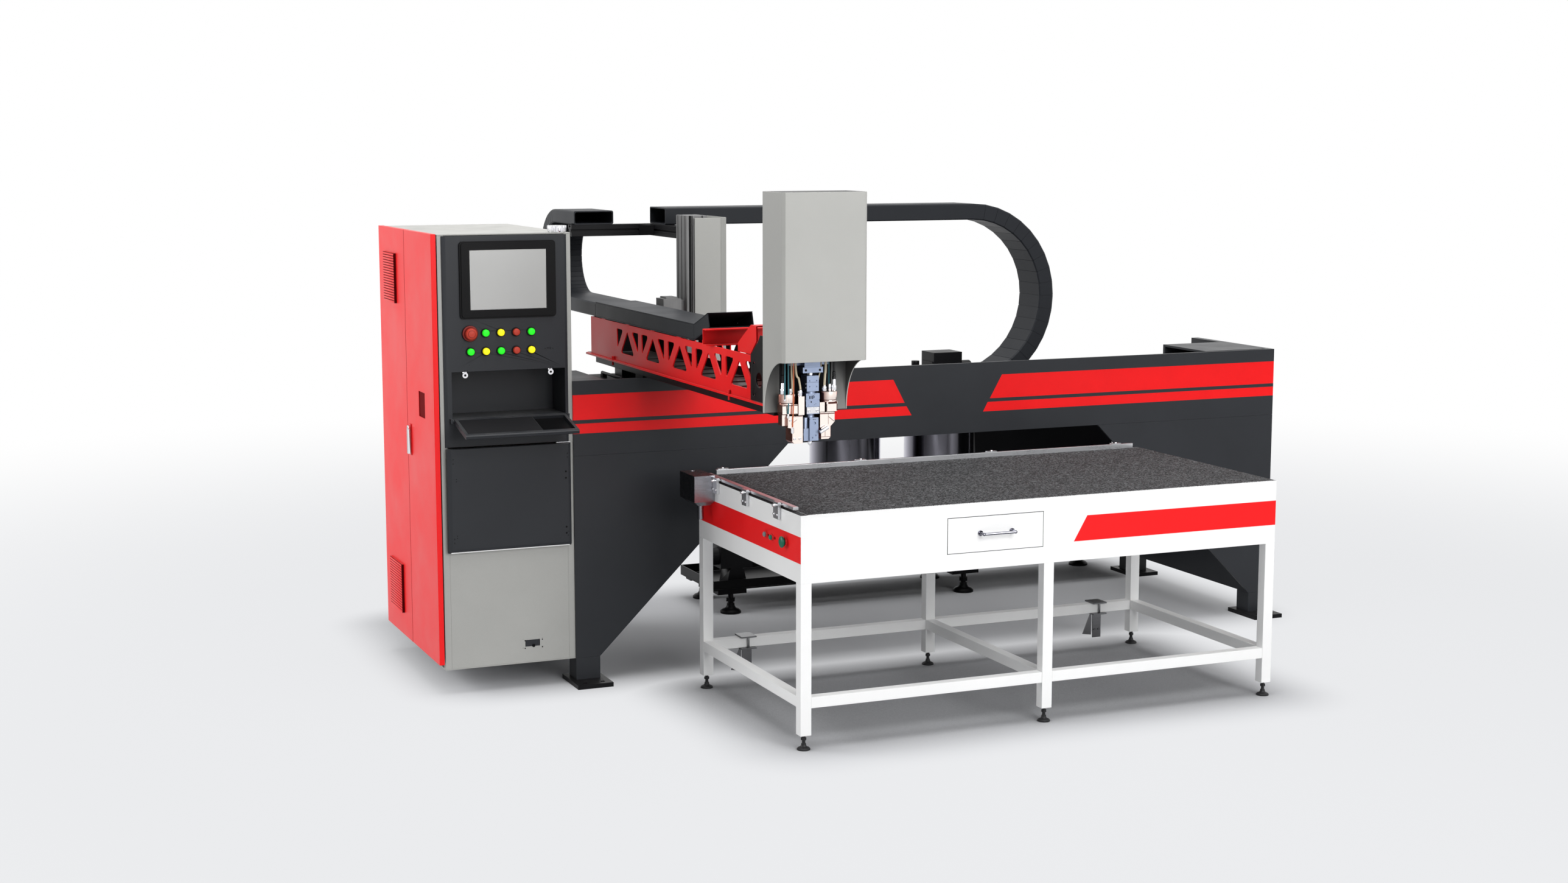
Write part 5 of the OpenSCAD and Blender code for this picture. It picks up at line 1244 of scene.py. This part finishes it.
gap_x = (DRAWER_X[0] - GAP_HIGH, DRAWER_X[1] + GAP_HIGH)
frame_strips = [(gap_x, GAP_DEPTH, (DRAWER_Z[0] - GAP_HIGH, DRAWER_Z[0] - GAP_LOW)),
                (gap_x, GAP_DEPTH, (DRAWER_Z[1] + GAP_LOW, DRAWER_Z[1] + GAP_HIGH)),
                ((DRAWER_X[0] - GAP_HIGH, DRAWER_X[0] - GAP_LOW), GAP_DEPTH, DRAWER_Z),
                ((DRAWER_X[1] + GAP_LOW, DRAWER_X[1] + GAP_HIGH), GAP_DEPTH, DRAWER_Z)]
piece_of("root", "black_paint", "drawer_gap", frame_strips, look="deep_black")
# Sockets in the shaded red: painted shade of their hollows
mesh = bmesh.new()
for y in (291, 233):
    turned(mesh, (0, y, 730.5), LEFT_WAY, [(0, 5.5), (0.6, 5.5), (0.8, 4)], 16)
finished(mesh, "button_sockets", "root", "button_red", look="shaded_red")
chance = random.Random(7)
mesh = bmesh.new()
for i in range(EDGE_CRUMBS):
    x = MAT_ENDS[0] + (MAT_ENDS[1] - MAT_ENDS[0]) * (i + chance.random()) / EDGE_CRUMBS
    size = 0.8 + 1.6 * chance.random()
    y = chance.uniform(-0.1, 0.6)
    low = MAT_TOP - chance.random() ** 2 * 5.0
    block(mesh, (x, x + size), (y - 0.4, y + size), (low, MAT_TOP + 0.4 + 0.9 * chance.random()))
finished(mesh, "mat_crumbs", "root", "speckled_top")
print("crumbs on the front edge:", EDGE_CRUMBS)

# %% [markdown]
# ## The operator's screen
# The screen is a pane set back in the bezel, with a narrow bevelled frame around it. It is
# switched off and blank.

# %% Screen
SCREEN_X = (-845, -542)
SCREEN_Z = (1505, 1734)
BEZEL_FRONT = measured("monitor")[0][1]
BEZEL_STEP = 9.0
moulded("screen_glass", colour(187, 187, 185), 0.22, coat=0.3, texture=2400.0, mottle=0.02)


def pane_ring(grow, depth):
    """The screen's outline, grown on all sides, at a depth in mm."""
    across, upright = [(low - grow, high + grow) for low, high in (SCREEN_X, SCREEN_Z)]
    return [at(x, depth, z) for x, z in rectangle(across, upright)]


mesh = bmesh.new()
loft(mesh, [pane_ring(grow, BEZEL_FRONT + depth) for grow, depth in
            ((BEZEL_STEP + 8, 0.6), (BEZEL_STEP + 8, 0.1), (BEZEL_STEP, 0.1), (0, 0.6))], closed=False)
finished(mesh, "screen_frame", "root", "screen_black")
mesh = bmesh.new()
loft(mesh, [pane_ring(0, BEZEL_FRONT + 0.6), pane_ring(-3, BEZEL_FRONT + 0.5)])
finished(mesh, "screen_pane", "root", "screen_black", look="screen_glass")
print("screen:", SCREEN_X[1] - SCREEN_X[0], "by", SCREEN_Z[1] - SCREEN_Z[0], "mm")
